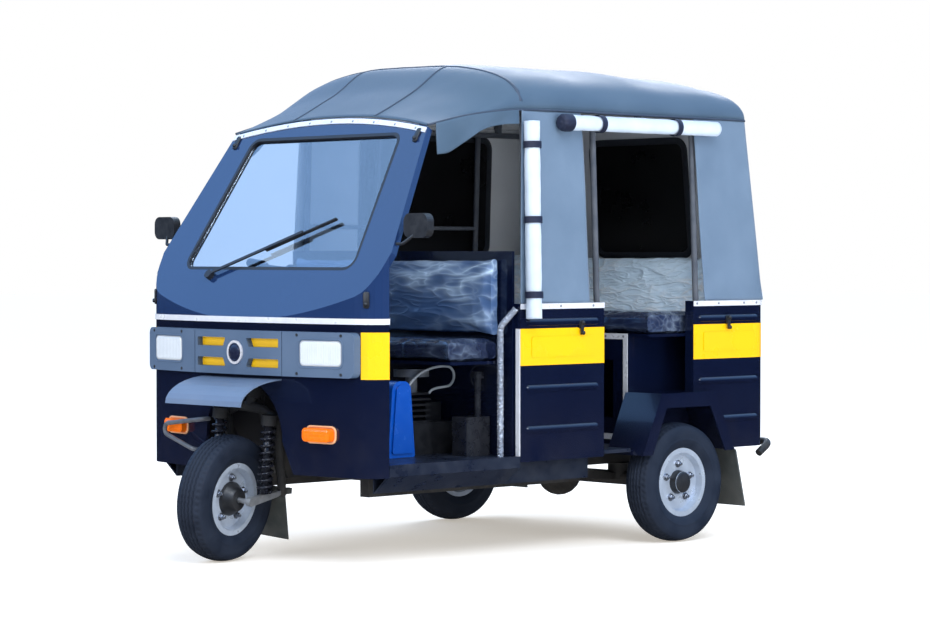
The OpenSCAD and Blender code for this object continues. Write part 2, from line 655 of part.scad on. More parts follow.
module grille_disc() color(bright_colour) placed() difference() {
    intersection() {
        nose_ring(seat_gap, grille_t + disc_proud, grille_z, grille_z + grille_h);
        along(nose_st - 2 * grille_t, door_front_st) translate([0, grille_z + grille_h / 2])
            circle(d = disc_d - 2 * seat_gap);
    }
    along(nose_st - 3 * grille_t, nose_st - grille_t - disc_proud + disc_recess)
        translate([0, grille_z + grille_h / 2]) circle(d = disc_d * disc_face_share);
}
module headlamps() color([0.9, 0.92, 0.95]) placed() intersection() {
    nose_ring(seat_gap, grille_t - seat_gap, grille_z, grille_z + grille_h);
    along(nose_st - 2 * grille_t, door_front_st) lamp_outline(seat_gap);
}
indicator_w = 136;
indicator_h = 52;
indicator_t = 30;
indicator_x = 435;
indicator_z = 503;
module front_indicators() color("darkorange") placed() intersection() {
    nose_ring(seat_gap, indicator_t, indicator_z - indicator_h, indicator_z + indicator_h);
    along(nose_st - indicator_t, door_front_st) paired() translate([indicator_x,
        indicator_z]) polygon(rounded(
        rectangle(-indicator_w / 2, -indicator_h / 2, indicator_w / 2, indicator_h / 2), indicator_h / 3));
}

// Hood over the front wheel: a curved sheet that stands out from the nose
visor_half = 229;
visor_out = 198;
visor_top_z = 708;
visor_edge_z = 606;
visor_t = 6;
module wheel_visor() color(plastic_colour) placed() difference() {
    outer = [for (i = [0:8]) let (a = 90 * i / 8) [nose_st + over - (visor_out + over) * sin(a),
        visor_edge_z + (visor_top_z - visor_edge_z) * cos(a)]];
    inner = [for (i = [8:-1:0]) let (a = 90 * i / 8) [nose_st + over - (visor_out + over
        - visor_t) * sin(a),
        visor_edge_z + (visor_top_z - visor_edge_z - visor_t) * cos(a)]];
    across(-visor_half, visor_half) polygon(concat(outer, inner));
    upward(visor_edge_z - over, visor_top_z + over) translate([0, nose_st + nose_r])
        circle(nose_r + seat_gap, $fn = nose_fn);
}
guard_d = 18;
guard_out = 28;
guard_top = [-205, 538];
guard_far = [-545, 500];
guard_low = [-262, 414];
guard_bend = 24;
module guard_loop() color(steel_colour) placed() {
    front = nose_st - guard_out;
    foot_top = [guard_top[0], nose_face(guard_top[0]) - seat_gap, guard_top[1]];
    foot_low = [guard_low[0], nose_face(guard_low[0]) - seat_gap, guard_low[1]];
    bent_tube([foot_top, [guard_top[0], front, guard_top[1]], [guard_far[0], front, guard_far[1]],
        [guard_low[0], front, guard_low[1]], foot_low], guard_d, guard_bend);
}
function nose_face(x) = nose_st + nose_r - sqrt(nose_r * nose_r - x * x) - guard_d / 4;

// Mirrors on arms from the windscreen surround, and the wiper
mirror_z = 1290;
mirror_out = 70;
mirror_x = half_w + mirror_out;
mirror_st = 288;
mirror_w = 130;
mirror_h = 92;
mirror_t = 34;
mirror_arm_d = 12;
mirror_foot_z = 1222;
module mirrors() color(steel_colour) placed() paired() {
    translate([mirror_x, mirror_st, mirror_z]) along(0,
        mirror_t) polygon(rounded(rectangle(-mirror_w / 2, -mirror_h / 2,
        mirror_w / 2, mirror_h / 2), mirror_h / 3));
    bent_tube([[frame_half(mirror_foot_z) + seat_gap, screen_st(mirror_foot_z) + frame_t / 2,
        mirror_foot_z],
        [half_w + mirror_arm_d * 2, screen_st(mirror_foot_z) + frame_t / 2, mirror_foot_z],
        [mirror_x, mirror_st + mirror_t / 2, mirror_z - mirror_h / 4]], mirror_arm_d, mirror_arm_d);
}
wiper_x = -314;
wiper_tip_x = 304;
wiper_low_z = 1096;
wiper_high_z = 1315;
wiper_t = 7;
wiper_w = 12;
module wiper() color(rubber_colour) placed() on_screen() {
    tip = [wiper_tip_x, slope(wiper_high_z)];
    foot = [wiper_x, slope(wiper_low_z)];
    run = tip - foot;
    turn = atan2(run[1], run[0]);
    translate([foot[0], foot[1], seat_gap]) cylinder(d = 3 * wiper_w, h = 3 * wiper_t);
    translate([foot[0], foot[1], seat_gap + 2 * wiper_t]) rotate(turn) translate([0, -wiper_w / 2])
        cube([norm(run) * 0.75, wiper_w, wiper_t]);
    translate([foot[0], foot[1], seat_gap]) rotate(turn) translate([norm(run) * 0.45, -wiper_w / 4])
        cube([norm(run) * 0.55, wiper_w / 2, 2 * wiper_t + seat_gap]);
}

// Tub: side panels and tail, from one plan outline, with pressed beads
tub_corner = 80;
side_edge = 600;
waist_gap_z = waist_z - seat_gap;
bead_d = 34;
bead_margin = 30;
bead_shares = [0.2, 0.46, 0.88];
module tub_plan(d, start) polygon(rounded(rectangle(d - half_w, start, half_w - d, tub_end_st - d),
    [0, 0, tub_corner - d, tub_corner - d]));
module tub_skin(start) difference() {
    tub_plan(0, start);
    tub_plan(panel_t, start - over);
}
module side_beads(x, st0, st1) for (s = bead_shares)
    bead(x, st0 + bead_margin, st1 - bead_margin, sill_z + (waist_z - sill_z) * s, bead_d);
// Inward ledge along the waist, which carries the canopy's posts
module waist_ledge(st0, st1) upward(waist_gap_z - panel_t, waist_gap_z)
    polygon(rectangle(half_w - flange_w, st0, half_w - panel_t / 2, st1));
module wheel_cut() across(wheelhouse_x, half_w + over) polygon(fender_profile);
module side_panels_left() color(paint_colour) placed() {
    upward(sill_z, waist_gap_z) {
        polygon(rectangle(half_w - panel_t, partition_st, half_w, mid_end_st));
        polygon(rectangle(half_w - flange_w, mid_end_st - panel_t, half_w, mid_end_st));
        polygon(rectangle(half_w - flange_w, partition_st, half_w, partition_st + panel_t));
    }
    waist_ledge(partition_st, mid_end_st);
    side_beads(half_w - bead_d / 4, partition_st, mid_end_st);
    difference() {
        union() {
            waist_ledge(quarter_st, tub_end_st - tub_corner);
            upward(sill_z, waist_gap_z) {
                intersection() {
                    tub_skin(quarter_st);
                    polygon(rectangle(side_edge + seat_gap, 0, body_w, tub_end_st + over));
                }
                polygon(rectangle(half_w - flange_w, quarter_st, half_w, quarter_st + panel_t));
            }
            side_beads(half_w - bead_d / 4, quarter_st, tub_end_st - tub_corner / 2);
        }
        wheel_cut();
    }
}
module side_panel_right() color(paint_colour) placed() mirror([1, 0, 0]) difference() {
    union() {
        waist_ledge(partition_st, tub_end_st - tub_corner);
        upward(sill_z, waist_gap_z) {
            intersection() {
                tub_skin(partition_st);
                polygon(rectangle(side_edge + seat_gap, partition_st, body_w, tub_end_st + over));
            }
            polygon(rectangle(half_w - flange_w, partition_st, half_w, partition_st + panel_t));
        }
        side_beads(half_w - bead_d / 4, partition_st, mid_end_st);
        side_beads(half_w - bead_d / 4, quarter_st, tub_end_st - tub_corner / 2);
    }
    wheel_cut();
}
tail_lamp_w = 70;
tail_lamp_h = 150;
tail_lamp_t = 28;
tail_lamp_x = 540;
tail_lamp_z = 800;
module tail_panel() color(paint_colour) placed() {
    upward(sill_z, waist_gap_z) intersection() {
        tub_skin(quarter_st);
        polygon(rectangle(-side_edge, tub_end_st - panel_t - over, side_edge, tub_end_st + over));
    }
    for (s = bead_shares) translate([-side_edge / 2, tub_end_st - bead_d / 4, sill_z
        + (waist_z - sill_z) * s])
        rotate([0, 90, 0]) cylinder(d = bead_d, h = side_edge);
}
module tail_lamps() color("darkred") placed() paired() translate([tail_lamp_x, 0, tail_lamp_z])
    along(tub_end_st + seat_gap, tub_end_st + tail_lamp_t) polygon(rounded(rectangle(-tail_lamp_w / 2,
        -tail_lamp_h / 2,
        tail_lamp_w / 2, tail_lamp_h / 2), tail_lamp_w / 4));

// Reflective yellow bands: a film on the nose's corners and along the sides
film_t = 1.5;
front_band_z = 715;
front_band_h = 176;
emboss_in = 60;
emboss_edge = 32;
emboss_t = 5;
emboss_corner = 10;
module band_emboss(st0, st1) across(half_w + seat_gap, half_w + emboss_t) polygon(rounded(rectangle(st0
    + emboss_in,
    band_z + emboss_edge, st1 - emboss_in, band_z + band_h - emboss_edge), emboss_corner));
module yellow_bands() color(yellow_colour) placed() {
    paired() {
        band_emboss(partition_st, mid_end_st);
        band_emboss(quarter_st, tub_end_st - tub_corner / 2);
    }
    paired() upward(front_band_z, front_band_z + front_band_h) intersection() {
        difference() {
            nose_plan(-film_t, door_front_st);
            nose_plan(-seat_gap, door_front_st + over);
        }
        polygon(rectangle(grille_half + seat_gap, nose_st, body_w, door_front_st));
    }
    upward(band_z, band_z + band_h) {
        polygon(rectangle(half_w + seat_gap, partition_st, half_w + film_t, mid_end_st));
        intersection() {
            difference() {
                tub_plan(-film_t, partition_st);
                tub_plan(-seat_gap, partition_st - over);
            }
            union() {
                polygon(rectangle(side_edge, quarter_st, body_w, tub_end_st + over));
                polygon(rectangle(-body_w, partition_st, -side_edge, tub_end_st + over));
            }
        }
    }
}

// Angular rear fenders, with their outer lips, and the mudflaps behind them
fender_gap = 17.5;
fender_out = rear_track / 2 + tyre_w / 2 + fender_gap;
fender_t = 6;
fender_low_z = 368;
fender_top_z = 616;
fender_front = 275;
fender_front_top = 162;
fender_rear_top = 167;
fender_rear = 289;
fender_lip = 60;
// Outline of station and height: front foot, front top, rear top, rear foot
fender_profile = [[rear_st - fender_front, fender_low_z], [rear_st - fender_front_top, fender_top_z],
    [rear_st + fender_rear_top, fender_top_z], [rear_st + fender_rear, fender_low_z]];
function fender_inner(d) = [[fender_profile[0][0] + d, 0], [fender_profile[0][0] + d, fender_profile[0][1]],
    fender_profile[1] + [d / 2, -d], fender_profile[2] + [-d / 2, -d],
    [fender_profile[3][0] - d, fender_profile[3][1]], [fender_profile[3][0] - d, 0]];
module rear_fenders() color(paint_colour) placed() paired() {
    difference() {
        across(wheelhouse_x + seat_gap, fender_out) polygon([for (i = [0:3]) fender_profile[i]
            + [[seat_gap, 0], [seat_gap, -seat_gap], [-seat_gap, -seat_gap], [-seat_gap, 0]][i]]);
        across(wheelhouse_x + fender_t, fender_out - fender_t) polygon(fender_inner(fender_t));
        across(fender_out - fender_t - over, fender_out + over) polygon(fender_inner(fender_lip));
    }
}
rear_flap_low_z = 128;
rear_flap_back = 60;
rear_flap_t = 8;
module rear_mudflaps() color(rubber_colour) placed() paired()
    across(wheelhouse_x + fender_t, fender_out) polygon([
        [fender_profile[3][0] + seat_gap, fender_profile[3][1]],
        [fender_profile[3][0] + rear_flap_back, rear_flap_low_z],
        [fender_profile[3][0] + rear_flap_back + rear_flap_t, rear_flap_low_z],
        [fender_profile[3][0] + seat_gap + rear_flap_t, fender_profile[3][1]]]);
bumper_d = 32;
bumper_z = 384;
bumper_end_drop = 46;
bracket_t = 12;
module rear_bumper() color(steel_colour) placed() {
    st = bumper_reach - bumper_d / 2;
    end_st = tub_end_st - tub_corner / 2;
    end_z = bumper_z - bumper_end_drop;
    low_z = sill_z - bracket_t / 2;
    bent_tube([[-half_w + over, end_st, end_z], [-half_w + over, st, bumper_z], [half_w - over, st,
        bumper_z],
        [half_w - over, end_st, end_z]], bumper_d, bumper_d);
    paired() across(rail_x - bracket_t / 2, rail_x + bracket_t / 2) polygon([[rail_end_st + seat_gap,
        low_z - rail_h / 2],
        [st - bumper_d / 8, bumper_z - bumper_d / 4], [st + bumper_d / 8, bumper_z], [st - bumper_d / 4,
            bumper_z + bumper_d / 8],
        [tub_end_st + seat_gap, low_z], [rail_end_st + seat_gap, low_z]]);
}

// Partition with its seat tray, and the driver's bench
partition_t = 12;
partition_edge = 32;
partition_half = half_w - partition_edge;
tray_z = 755;
tray_l = 300;
bench_half = half_w - flange_w - panel_t - over;
cushion_t = 82;
back_t = 52;
bench_corner = 22;
module partition() color(paint_colour) placed() {
    along(partition_st - partition_t, partition_st - seat_gap) polygon(rectangle(-partition_half,
        floor_z + seat_gap,
        partition_half, partition_h));
    translate([-bench_half, partition_st - tray_l, tray_z]) cube([2 * bench_half,
        tray_l - partition_t / 2, partition_t]);
}
module driver_cushion() color(vinyl_colour) placed() across(-bench_half,
    bench_half) polygon(rounded(rectangle(
    partition_st - tray_l, tray_z + partition_t + seat_gap, partition_st - partition_t - seat_gap,
    tray_z + partition_t + cushion_t), bench_corner));
module driver_backrest() color(vinyl_colour) placed() across(-bench_half,
    bench_half) polygon(rounded(rectangle(
    partition_st - partition_t - seat_gap - back_t, tray_z + partition_t + cushion_t + seat_gap,
    partition_st - partition_t - seat_gap, partition_h - partition_t), bench_corner));

// Passengers' bench on its box, which stands between the wheel houses
seat_front_st = 1700;
box_half = wheelhouse_x - over;
box_t = 12;
box_top_t = 12;
seat_back_st = 2150;
backrest_t = 110;
backrest_h = 250;
backrest_lean = 22;
seat_side = 4;
seat_half = half_w - flange_w - seat_side;
hatch_w = 420;
hatch_h = 240;
trim_w = 24;
trim_t = 3;
module seat_box() color(paint_colour) placed() {
    difference() {
        translate([-box_half, seat_front_st, floor_z + seat_gap])
            cube([2 * box_half, seat_back_st - seat_front_st, seat_z - floor_z - seat_gap * 2]);
        translate([-box_half + box_t, seat_front_st + box_t, floor_z - over])
            cube([2 * (box_half - box_t), seat_back_st - seat_front_st - 2 * box_t, seat_z - floor_z
                + over - box_top_t]);
        paired() translate([over, seat_front_st - over, floor_z + (seat_z - floor_z) / 2 - hatch_h / 2])
            cube([hatch_w, box_t + 2 * over, hatch_h]);
    }
    translate([-seat_half, seat_front_st, seat_z - seat_gap - box_top_t])
        cube([2 * seat_half, seat_back_st - seat_front_st, box_top_t]);
}
module seat_trim() color(bright_colour) placed() along(seat_front_st - trim_t,
    seat_front_st - seat_gap) difference() {
    polygon(rectangle(-box_half, floor_z + over, box_half, seat_z - seat_gap));
    paired() polygon(rectangle(trim_w / 2, floor_z + over + trim_w, box_half - trim_w, seat_z - trim_w));
}
module passenger_cushion() color(vinyl_colour) placed() across(-seat_half,
    seat_half) polygon(rounded(rectangle(
    seat_front_st, seat_z, seat_back_st - backrest_t, seat_z + seat_t), seat_t / 3));
module passenger_backrest() color(vinyl_colour) placed() {
    across(-seat_half, seat_half) translate([seat_back_st - backrest_t + seat_gap, seat_z + seat_gap])
        polygon(rounded([[0, 0], [backrest_t, 0], [backrest_t + backrest_h * tan(backrest_lean), seat_t
            + backrest_h],
            [backrest_h * tan(backrest_lean), seat_t + backrest_h]], backrest_t / 4));
}

// Engine under the driver's bench: finned block, blue fan cowl, air cleaner and fuel tank
engine_in = 632;
engine_x = half_w - engine_in;
engine_w = 300;
engine_back = 28;
engine_l = 280;
engine_st = partition_st - engine_l - engine_back;
engine_low_z = floor_z + seat_gap;
engine_h = 250;
fin_count = 6;
fin_gap = 14;
fin_t = 8;
fin_top = engine_h / 2 + (fin_count - 1) * (fin_gap + fin_t) + fin_t - seat_gap;
cowl_st = 455;
cowl_low_l = 140;
cowl_top_l = 92;
cowl_h = 296;
cowl_l = 66;
cowl_corner = 38;
cleaner_d = 140;
cleaner_h = 62;
tank_w = 95;
tank_l = 128;
tank_h = 152;
tank_back = 32;
filler_d = 26;
filler_h = 150;
cap_d = 46;
module engine_block() color(steel_colour) placed() translate([engine_x, engine_st, engine_low_z]) {
    cube([engine_w, engine_l, engine_h / 2]);
    for (i = [0:fin_count - 1]) translate([fin_gap, fin_gap, engine_h / 2 + i * (fin_gap + fin_t)
        - seat_gap])
        cube([engine_w - 2 * fin_gap, engine_l / 2, fin_t]);
    translate([engine_w / 2, engine_l / 4 + fin_gap, 0]) cylinder(d = engine_l / 3,
        h = fin_top - fin_t / 2);
    translate([engine_w / 4, engine_l * 0.65, 0]) cube([engine_w / 2, engine_l * 0.3, engine_h * 0.8]);
}
// Blower housing beside the block, narrower at its shoulders, with a raised face
module cowl_outline(d) polygon(rounded([[cowl_st + d, engine_low_z + d], [cowl_st + cowl_low_l - d,
    engine_low_z + d],
    [cowl_st + (cowl_low_l + cowl_top_l) / 2 - d, engine_low_z + cowl_h - d],
    [cowl_st + (cowl_low_l - cowl_top_l) / 2 + d, engine_low_z + cowl_h - d]],
    [fin_t, fin_t, cowl_corner - d, cowl_corner - d]));
module fan_cowl() color("royalblue") placed() {
    inner = engine_x + engine_w + seat_gap;
    across(inner, inner + cowl_l) cowl_outline(0);
    across(inner + cowl_l / 2, inner + cowl_l + fin_t) cowl_outline(2 * fin_t);
}
module air_cleaner() color(bright_colour) placed() translate([engine_x + engine_w * 0.75, engine_st
    + engine_l / 2
    - cleaner_d / 4, engine_low_z + fin_top + seat_gap]) {
    cylinder(d = cleaner_d / 3, h = cleaner_h);
    translate([0, 0, cleaner_h]) cylinder(d = cleaner_d, h = cleaner_h / 2);
}
module fuel_tank() color(rubber_colour) placed() translate([engine_x + engine_w + cowl_l + 2 * over,
    partition_st - tank_back - tank_l, engine_low_z]) {
    upward(0, tank_h) polygon(rounded(rectangle(0, 0, tank_w, tank_l), tank_w / 8));
    translate([tank_w * 0.7, tank_l * 0.65, tank_h - fin_t]) cylinder(d = filler_d, h = filler_h + fin_t);
    translate([tank_w * 0.7, tank_l * 0.65, tank_h + filler_h]) cylinder(d = cap_d, h = filler_d);
}
grab_d = 26;
grab_in = 52;
grab_x = half_w - grab_in;
grab_back = 58;
grab_st = partition_st - grab_back;
grab_bend_z = 900;
grab_top_z = 970;
module grab_rail() color(bright_colour) placed() bent_tube([[grab_x, grab_st, floor_z + seat_gap],
    [grab_x, grab_st, grab_bend_z], [half_w - grab_d / 2, partition_st - grab_d * 0.45, grab_top_z]],
    grab_d, grab_d * 2);

// Canopy: a roof lofted through bowed sections, over canvas walls with rounded rear corners
canopy_half = canopy_w / 2;
header_st = screen_st(screen_end_z);
roof_end_in = 81;
roof_end_st = tub_end_st - roof_end_in;
roof_steps = 20;
hoop_back = 37;
hoop_st = partition_st + hoop_back;
bow_power = 2.5;
slope_power = 2.2;
slope_up_power = 1.6;
edge_power = 0.8;
hoop_drop = 12;
valance_share = 0.45;
rear_drop = 40;
canvas_corner = 70;
roof_end_shares = [1, 0.55, 0.25, 0.08, 0];
header_gap = canvas_t + seat_gap;
rear_rise = roof_h - rear_drop - seam_z;
function round_share(s) = sqrt(1 - (1 - s) * (1 - s));
// Rows of station, half width, edge height, crown height, lean, and the powers of the bow across and up
roof_rows = concat([
    [header_st, screen_end_half, screen_end_z + header_gap, screen_top_z + header_gap, tan(screen_rake),
        2, 1],
    [header_st + (hoop_st - header_st) * valance_share, (canopy_half + screen_end_half) / 2,
        seam_z - (seam_z - screen_end_z) / 3, screen_top_z + (roof_h - screen_top_z) * valance_share,
        tan(screen_rake) / 2, slope_power, slope_up_power],
    [hoop_st, canopy_half - hoop_drop / 4, seam_z, roof_h - hoop_drop, 0, bow_power, bow_power],
    [(hoop_st + roof_end_st) / 2, canopy_half, seam_z, roof_h, 0, bow_power, bow_power],
    [roof_end_st - 3 * canvas_corner, canopy_half, seam_z, roof_h - rear_drop / 2, 0, bow_power,
        bow_power]],
    [for (s = roof_end_shares) [roof_end_st - canvas_corner * s, canopy_half - canvas_corner * (1
        - round_share(s)),
        seam_z, seam_z + max(rear_rise * round_share(s), 3 * canvas_t), 0, bow_power, bow_power]]);
function bow_rise(u, p, q) = pow(max(1 - pow(abs(u), p), 0), 1 / q);
function roof_section(row, d) = [for (i = [0:roof_steps]) let (c = cos(180 * i / roof_steps),
    u = sign(c) * pow(abs(c), edge_power), rise = bow_rise(u, row[5], row[6]) * (row[3] - d - row[2]))
    [u * (row[1] - d), row[0] + rise * row[4], row[2] + rise]];
module roof_shell(rows, t) {
    n = roof_steps + 1;
    m = len(rows);
    points = [for (d = [0, t]) for (row = rows) each roof_section(row, d)];
    function o(s, p) = s * n + p;
    function i(s, p) = (m + s) * n + p;
    skins = [for (s = [0:m - 2]) for (p = [0:n - 2]) each [[o(s, p), o(s, p + 1), o(s + 1, p + 1), o(s
        + 1, p)],
        [i(s, p), i(s + 1, p), i(s + 1, p + 1), i(s, p + 1)]]];
    rims = [for (s = [0:m - 2]) each [[o(s, 0), o(s + 1, 0), i(s + 1, 0), i(s, 0)],
        [o(s + 1, n - 1), o(s, n - 1), i(s, n - 1), i(s + 1, n - 1)]]];
    ends = [for (p = [0:n - 2]) each [[o(0, p + 1), o(0, p), i(0, p), i(0, p + 1)],
        [o(m - 1, p), o(m - 1, p + 1), i(m - 1, p + 1), i(m - 1, p)]]];
    polyhedron(points, concat(skins, rims, ends), convexity = 6);
}
module canopy_roof() color(canvas_colour) placed() roof_shell(roof_rows, canvas_t);

// Side canvas leans in from the waist to the seam
module leaning_canvas(st0, st1) along(st0, st1) polygon([[half_w - canvas_t, waist_z], [half_w, waist_z],
    [canopy_half, seam_z - seat_gap], [canopy_half - canvas_t, seam_z - seat_gap]]);
canvas_mid_in = 80;
canvas_mid_end = mid_end_st - canvas_mid_in;
canvas_mid_lean = 30;
canvas_rear_in = 72;
canvas_rear_st = quarter_st + canvas_rear_in;
canvas_rear_lean = 46;
back_in = 4;
back_low_st = tub_end_st - back_in;
function back_st(z) = back_low_st - (back_low_st - roof_end_st) * (z - waist_z) / (seam_z - waist_z);
// Edge of a canvas wall in plan: its front end, then the rear corner
function wall_edge(half, end, front, d, z) = [for (p = concat([[half - d, front]], [for (i = [0:arc_steps])
    let (a = 90 * i / arc_steps) [half - canvas_corner, end - canvas_corner]
        + (canvas_corner - d) * [cos(a), sin(a)]])) [p[0], p[1], z]];
// Left canvas wall from its front end to the back, between the waist and the seam
module canvas_wall(front_low, front_high) {
    n = arc_steps + 2;
    points = concat([for (d = [0, canvas_t]) each wall_edge(half_w, back_low_st, front_low, d, waist_z)],
        [for (d = [0, canvas_t]) each wall_edge(canopy_half, roof_end_st, front_high, d,
            seam_z - seat_gap)]);
    walls = [for (i = [0:n - 2]) each [[i, 2 * n + i, 2 * n + i + 1, i + 1], [n + i, n + i + 1, 3 * n
        + i + 1, 3 * n + i],
        [i, i + 1, n + i + 1, n + i], [2 * n + i, 3 * n + i, 3 * n + i + 1, 2 * n + i + 1]]];
    polyhedron(points, concat(walls, [[0, n, 3 * n, 2 * n], [n - 1, 3 * n - 1, 4 * n - 1, 2 * n - 1]]),
        convexity = 4);
}
// Flap over the driver's doorway: its top follows the roof's rim, and its tip hangs at the front
valance_start_share = 0.22;
valance_end_share = 0.5;
valance_low_share = 0.85;
valance_drop = 98;
valance_lean = 40;
valance_out = 8;
valance_mid_drop = 58;
function rim_point(i, s) = let (a = roof_rows[i], b = roof_rows[i + 1]) [a[1] + (b[1] - a[1]) * s,
    a[0] + (b[0] - a[0]) * s, a[2] + (b[2] - a[2]) * s - seat_gap];
module door_valance() {
    top = [rim_point(0, valance_start_share), rim_point(1, 0), rim_point(1, valance_end_share)];
    outer = concat(top, [rim_point(0, valance_low_share) + [valance_out, 0, -valance_mid_drop],
        top[0] + [valance_out, -valance_lean, -valance_drop]]);
    sides = [for (i = [0:4]) let (j = (i + 1) % 5) [i, i + 5, j + 5, j]];
    polyhedron(concat(outer, [for (p = outer) p - [canvas_t, 0, 0]]), concat([[0, 1, 3], [1, 2, 3], [0,
        3, 4],
        [5, 8, 6], [6, 8, 7], [5, 9, 8]], sides), convexity = 4);
}
module canopy_sides_left() color(canvas_colour) placed() {
    door_valance();
    intersection() {
        leaning_canvas(partition_st, mid_end_st);
        across(0, body_w) polygon([[partition_st, waist_z], [canvas_mid_end, waist_z],
            [canvas_mid_end - canvas_mid_lean, seam_z], [partition_st + canvas_mid_lean, seam_z]]);
    }
    canvas_wall(canvas_rear_st, canvas_rear_st - canvas_rear_lean);
}
window_end_in = 130;
window_drop = 57;
back_window_drop = 77;
window_st = mid_end_st - canvas_mid_in;
window_end_st = quarter_st + window_end_in;
window_z = 1185;
window_top_z = seam_z - window_drop;
window_corner = 40;
back_window_half = 272;
back_window_top_z = seam_z - back_window_drop;
function side_window(d) = rounded(rectangle(window_st + d, window_z + d, window_end_st - d,
    window_top_z - d), window_corner);
function back_window(d) = rounded(rectangle(d - back_window_half, window_z + d, back_window_half - d,
    back_window_top_z - d), window_corner);
module right_slab() mirror([1, 0, 0]) leaning_canvas(partition_st, tub_end_st);
module canopy_side_right() color(canvas_colour) placed() {
    difference() {
        mirror([1, 0, 0]) canvas_wall(partition_st, partition_st + canvas_mid_lean);
        across(-body_w, 0) polygon(side_window(0));
    }
    mirror([1, 0, 0]) door_valance();
}
module back_slab() across(-half_w, half_w) polygon([[back_st(waist_z) - canvas_t, waist_z],
    [back_st(waist_z), waist_z],
    [back_st(seam_z), seam_z - seat_gap], [back_st(seam_z) - canvas_t, seam_z - seat_gap]]);
back_inset = canvas_corner + seat_gap;
module canopy_back() color(canvas_colour) placed() difference() {
    intersection() {
        back_slab();
        along(roof_end_st - over, tub_end_st + over) polygon([[-half_w + back_inset, waist_z],
            [half_w - back_inset, waist_z],
            [canopy_half - back_inset, seam_z], [-canopy_half + back_inset, seam_z]]);
    }
    along(roof_end_st - over, tub_end_st + over) polygon(back_window(0));
}
module window_panes() color([0.05, 0.05, 0.05]) placed() {
    intersection() {
        right_slab();
        across(-body_w, 0) polygon(side_window(seat_gap));
    }
    intersection() {
        back_slab();
        along(roof_end_st - over, tub_end_st + over) polygon(back_window(seat_gap));
    }
}

// Steel posts and bows inside the canvas
post_d = 25;
post_in = 8;
rail_drop = 30;
mid_post_in = 15;
rear_post_in = 42;
back_post_in = 40;
side_bar_d = 18;
side_bar_z = 1298;
post_stations = [hoop_st + post_d, mid_end_st - mid_post_in, quarter_st + rear_post_in,
    roof_end_st - back_post_in];
side_rail_z = seam_z - rail_drop;
function wall_x(z) = half_w + (canopy_half - half_w) * (z - waist_z) / (seam_z - waist_z);
function canvas_x(z) = wall_x(z) - canvas_t - post_in - post_d / 2;
module canopy_posts() color(steel_colour) placed() {
    paired() for (st = post_stations) bar([canvas_x(waist_z), st, waist_z + seat_gap],
        [canvas_x(side_rail_z), st, side_rail_z - post_d / 2 - seat_gap], post_d);
    bar([-canvas_x(side_bar_z), post_stations[0], side_bar_z], [-canvas_x(side_bar_z), post_stations[2],
        side_bar_z],
        side_bar_d);
}
bow_h = 24;
bow_w = 25;
bow_gap = 1.2;
// Rows of a bow's front face, the roof's half width there and its crown
bow_rows = [[hoop_st, roof_rows[2][1], roof_rows[2][3]],
    [roof_rows[3][0] - bow_w / 2, roof_rows[3][1], roof_rows[3][3]],
    [roof_rows[4][0] - bow_w, roof_rows[4][1], roof_rows[4][3]]];
function bow_line(row, d) = [for (p = roof_section([0, row[1], seam_z, row[2], 0, bow_power, bow_power],
    canvas_t + bow_gap + d)) [p[0], p[2]]];
module canopy_bows() color(steel_colour) placed() {
    for (row = bow_rows) along(row[0], row[0] + bow_w) {
        polygon(concat(bow_line(row, 0), [for (i = [roof_steps:-1:0]) bow_line(row, bow_h)[i]]));
        paired() polygon(rectangle(row[1] - canvas_t - bow_gap - bow_h, side_rail_z,
            row[1] - canvas_t - bow_gap - bow_h / 4,
            seam_z + bow_gap));
    }
    paired() bar([canvas_x(side_rail_z), hoop_st - bow_w / 2, side_rail_z], [canvas_x(side_rail_z),
        roof_end_st - over * 2,
        side_rail_z], post_d);
}

// Bright strips that clamp the canvas and edge the door
strip_h = 22;
strip_t = 4;
strip_drop = 6;
strip_low_z = strip_z - strip_h / 2;
module bright_strips() color(bright_colour) placed() {
    upward(strip_low_z, strip_low_z + strip_h) difference() {
        nose_plan(-strip_t, door_front_st);
        nose_plan(-seat_gap, door_front_st + over);
    }
    upward(waist_z - strip_h, waist_z - seat_gap) {
        polygon(rectangle(half_w + seat_gap, partition_st, half_w + strip_t, mid_end_st));
        intersection() {
            difference() {
                tub_plan(-strip_t, partition_st);
                tub_plan(-seat_gap, partition_st - over);
            }
            union() {
                polygon(rectangle(-body_w, partition_st, 0, tub_end_st + over));
                polygon(rectangle(-over, quarter_st, body_w, tub_end_st + over));
            }
        }
    }
    upward(floor_z, band_z + band_h) polygon(rectangle(half_w - strip_h, partition_st - strip_t, half_w,
        partition_st - seat_gap));
    on_screen() translate([0, 0, seat_gap]) linear_extrude(strip_t) polygon(concat(header_edge(strip_drop),
        [for (i = [12:-1:0]) header_edge(strip_drop + strip_h)[i]]));
}
function header_edge(d) = header_arch(screen_end_half, slope(screen_end_z) - d, slope(screen_top_z) - d);

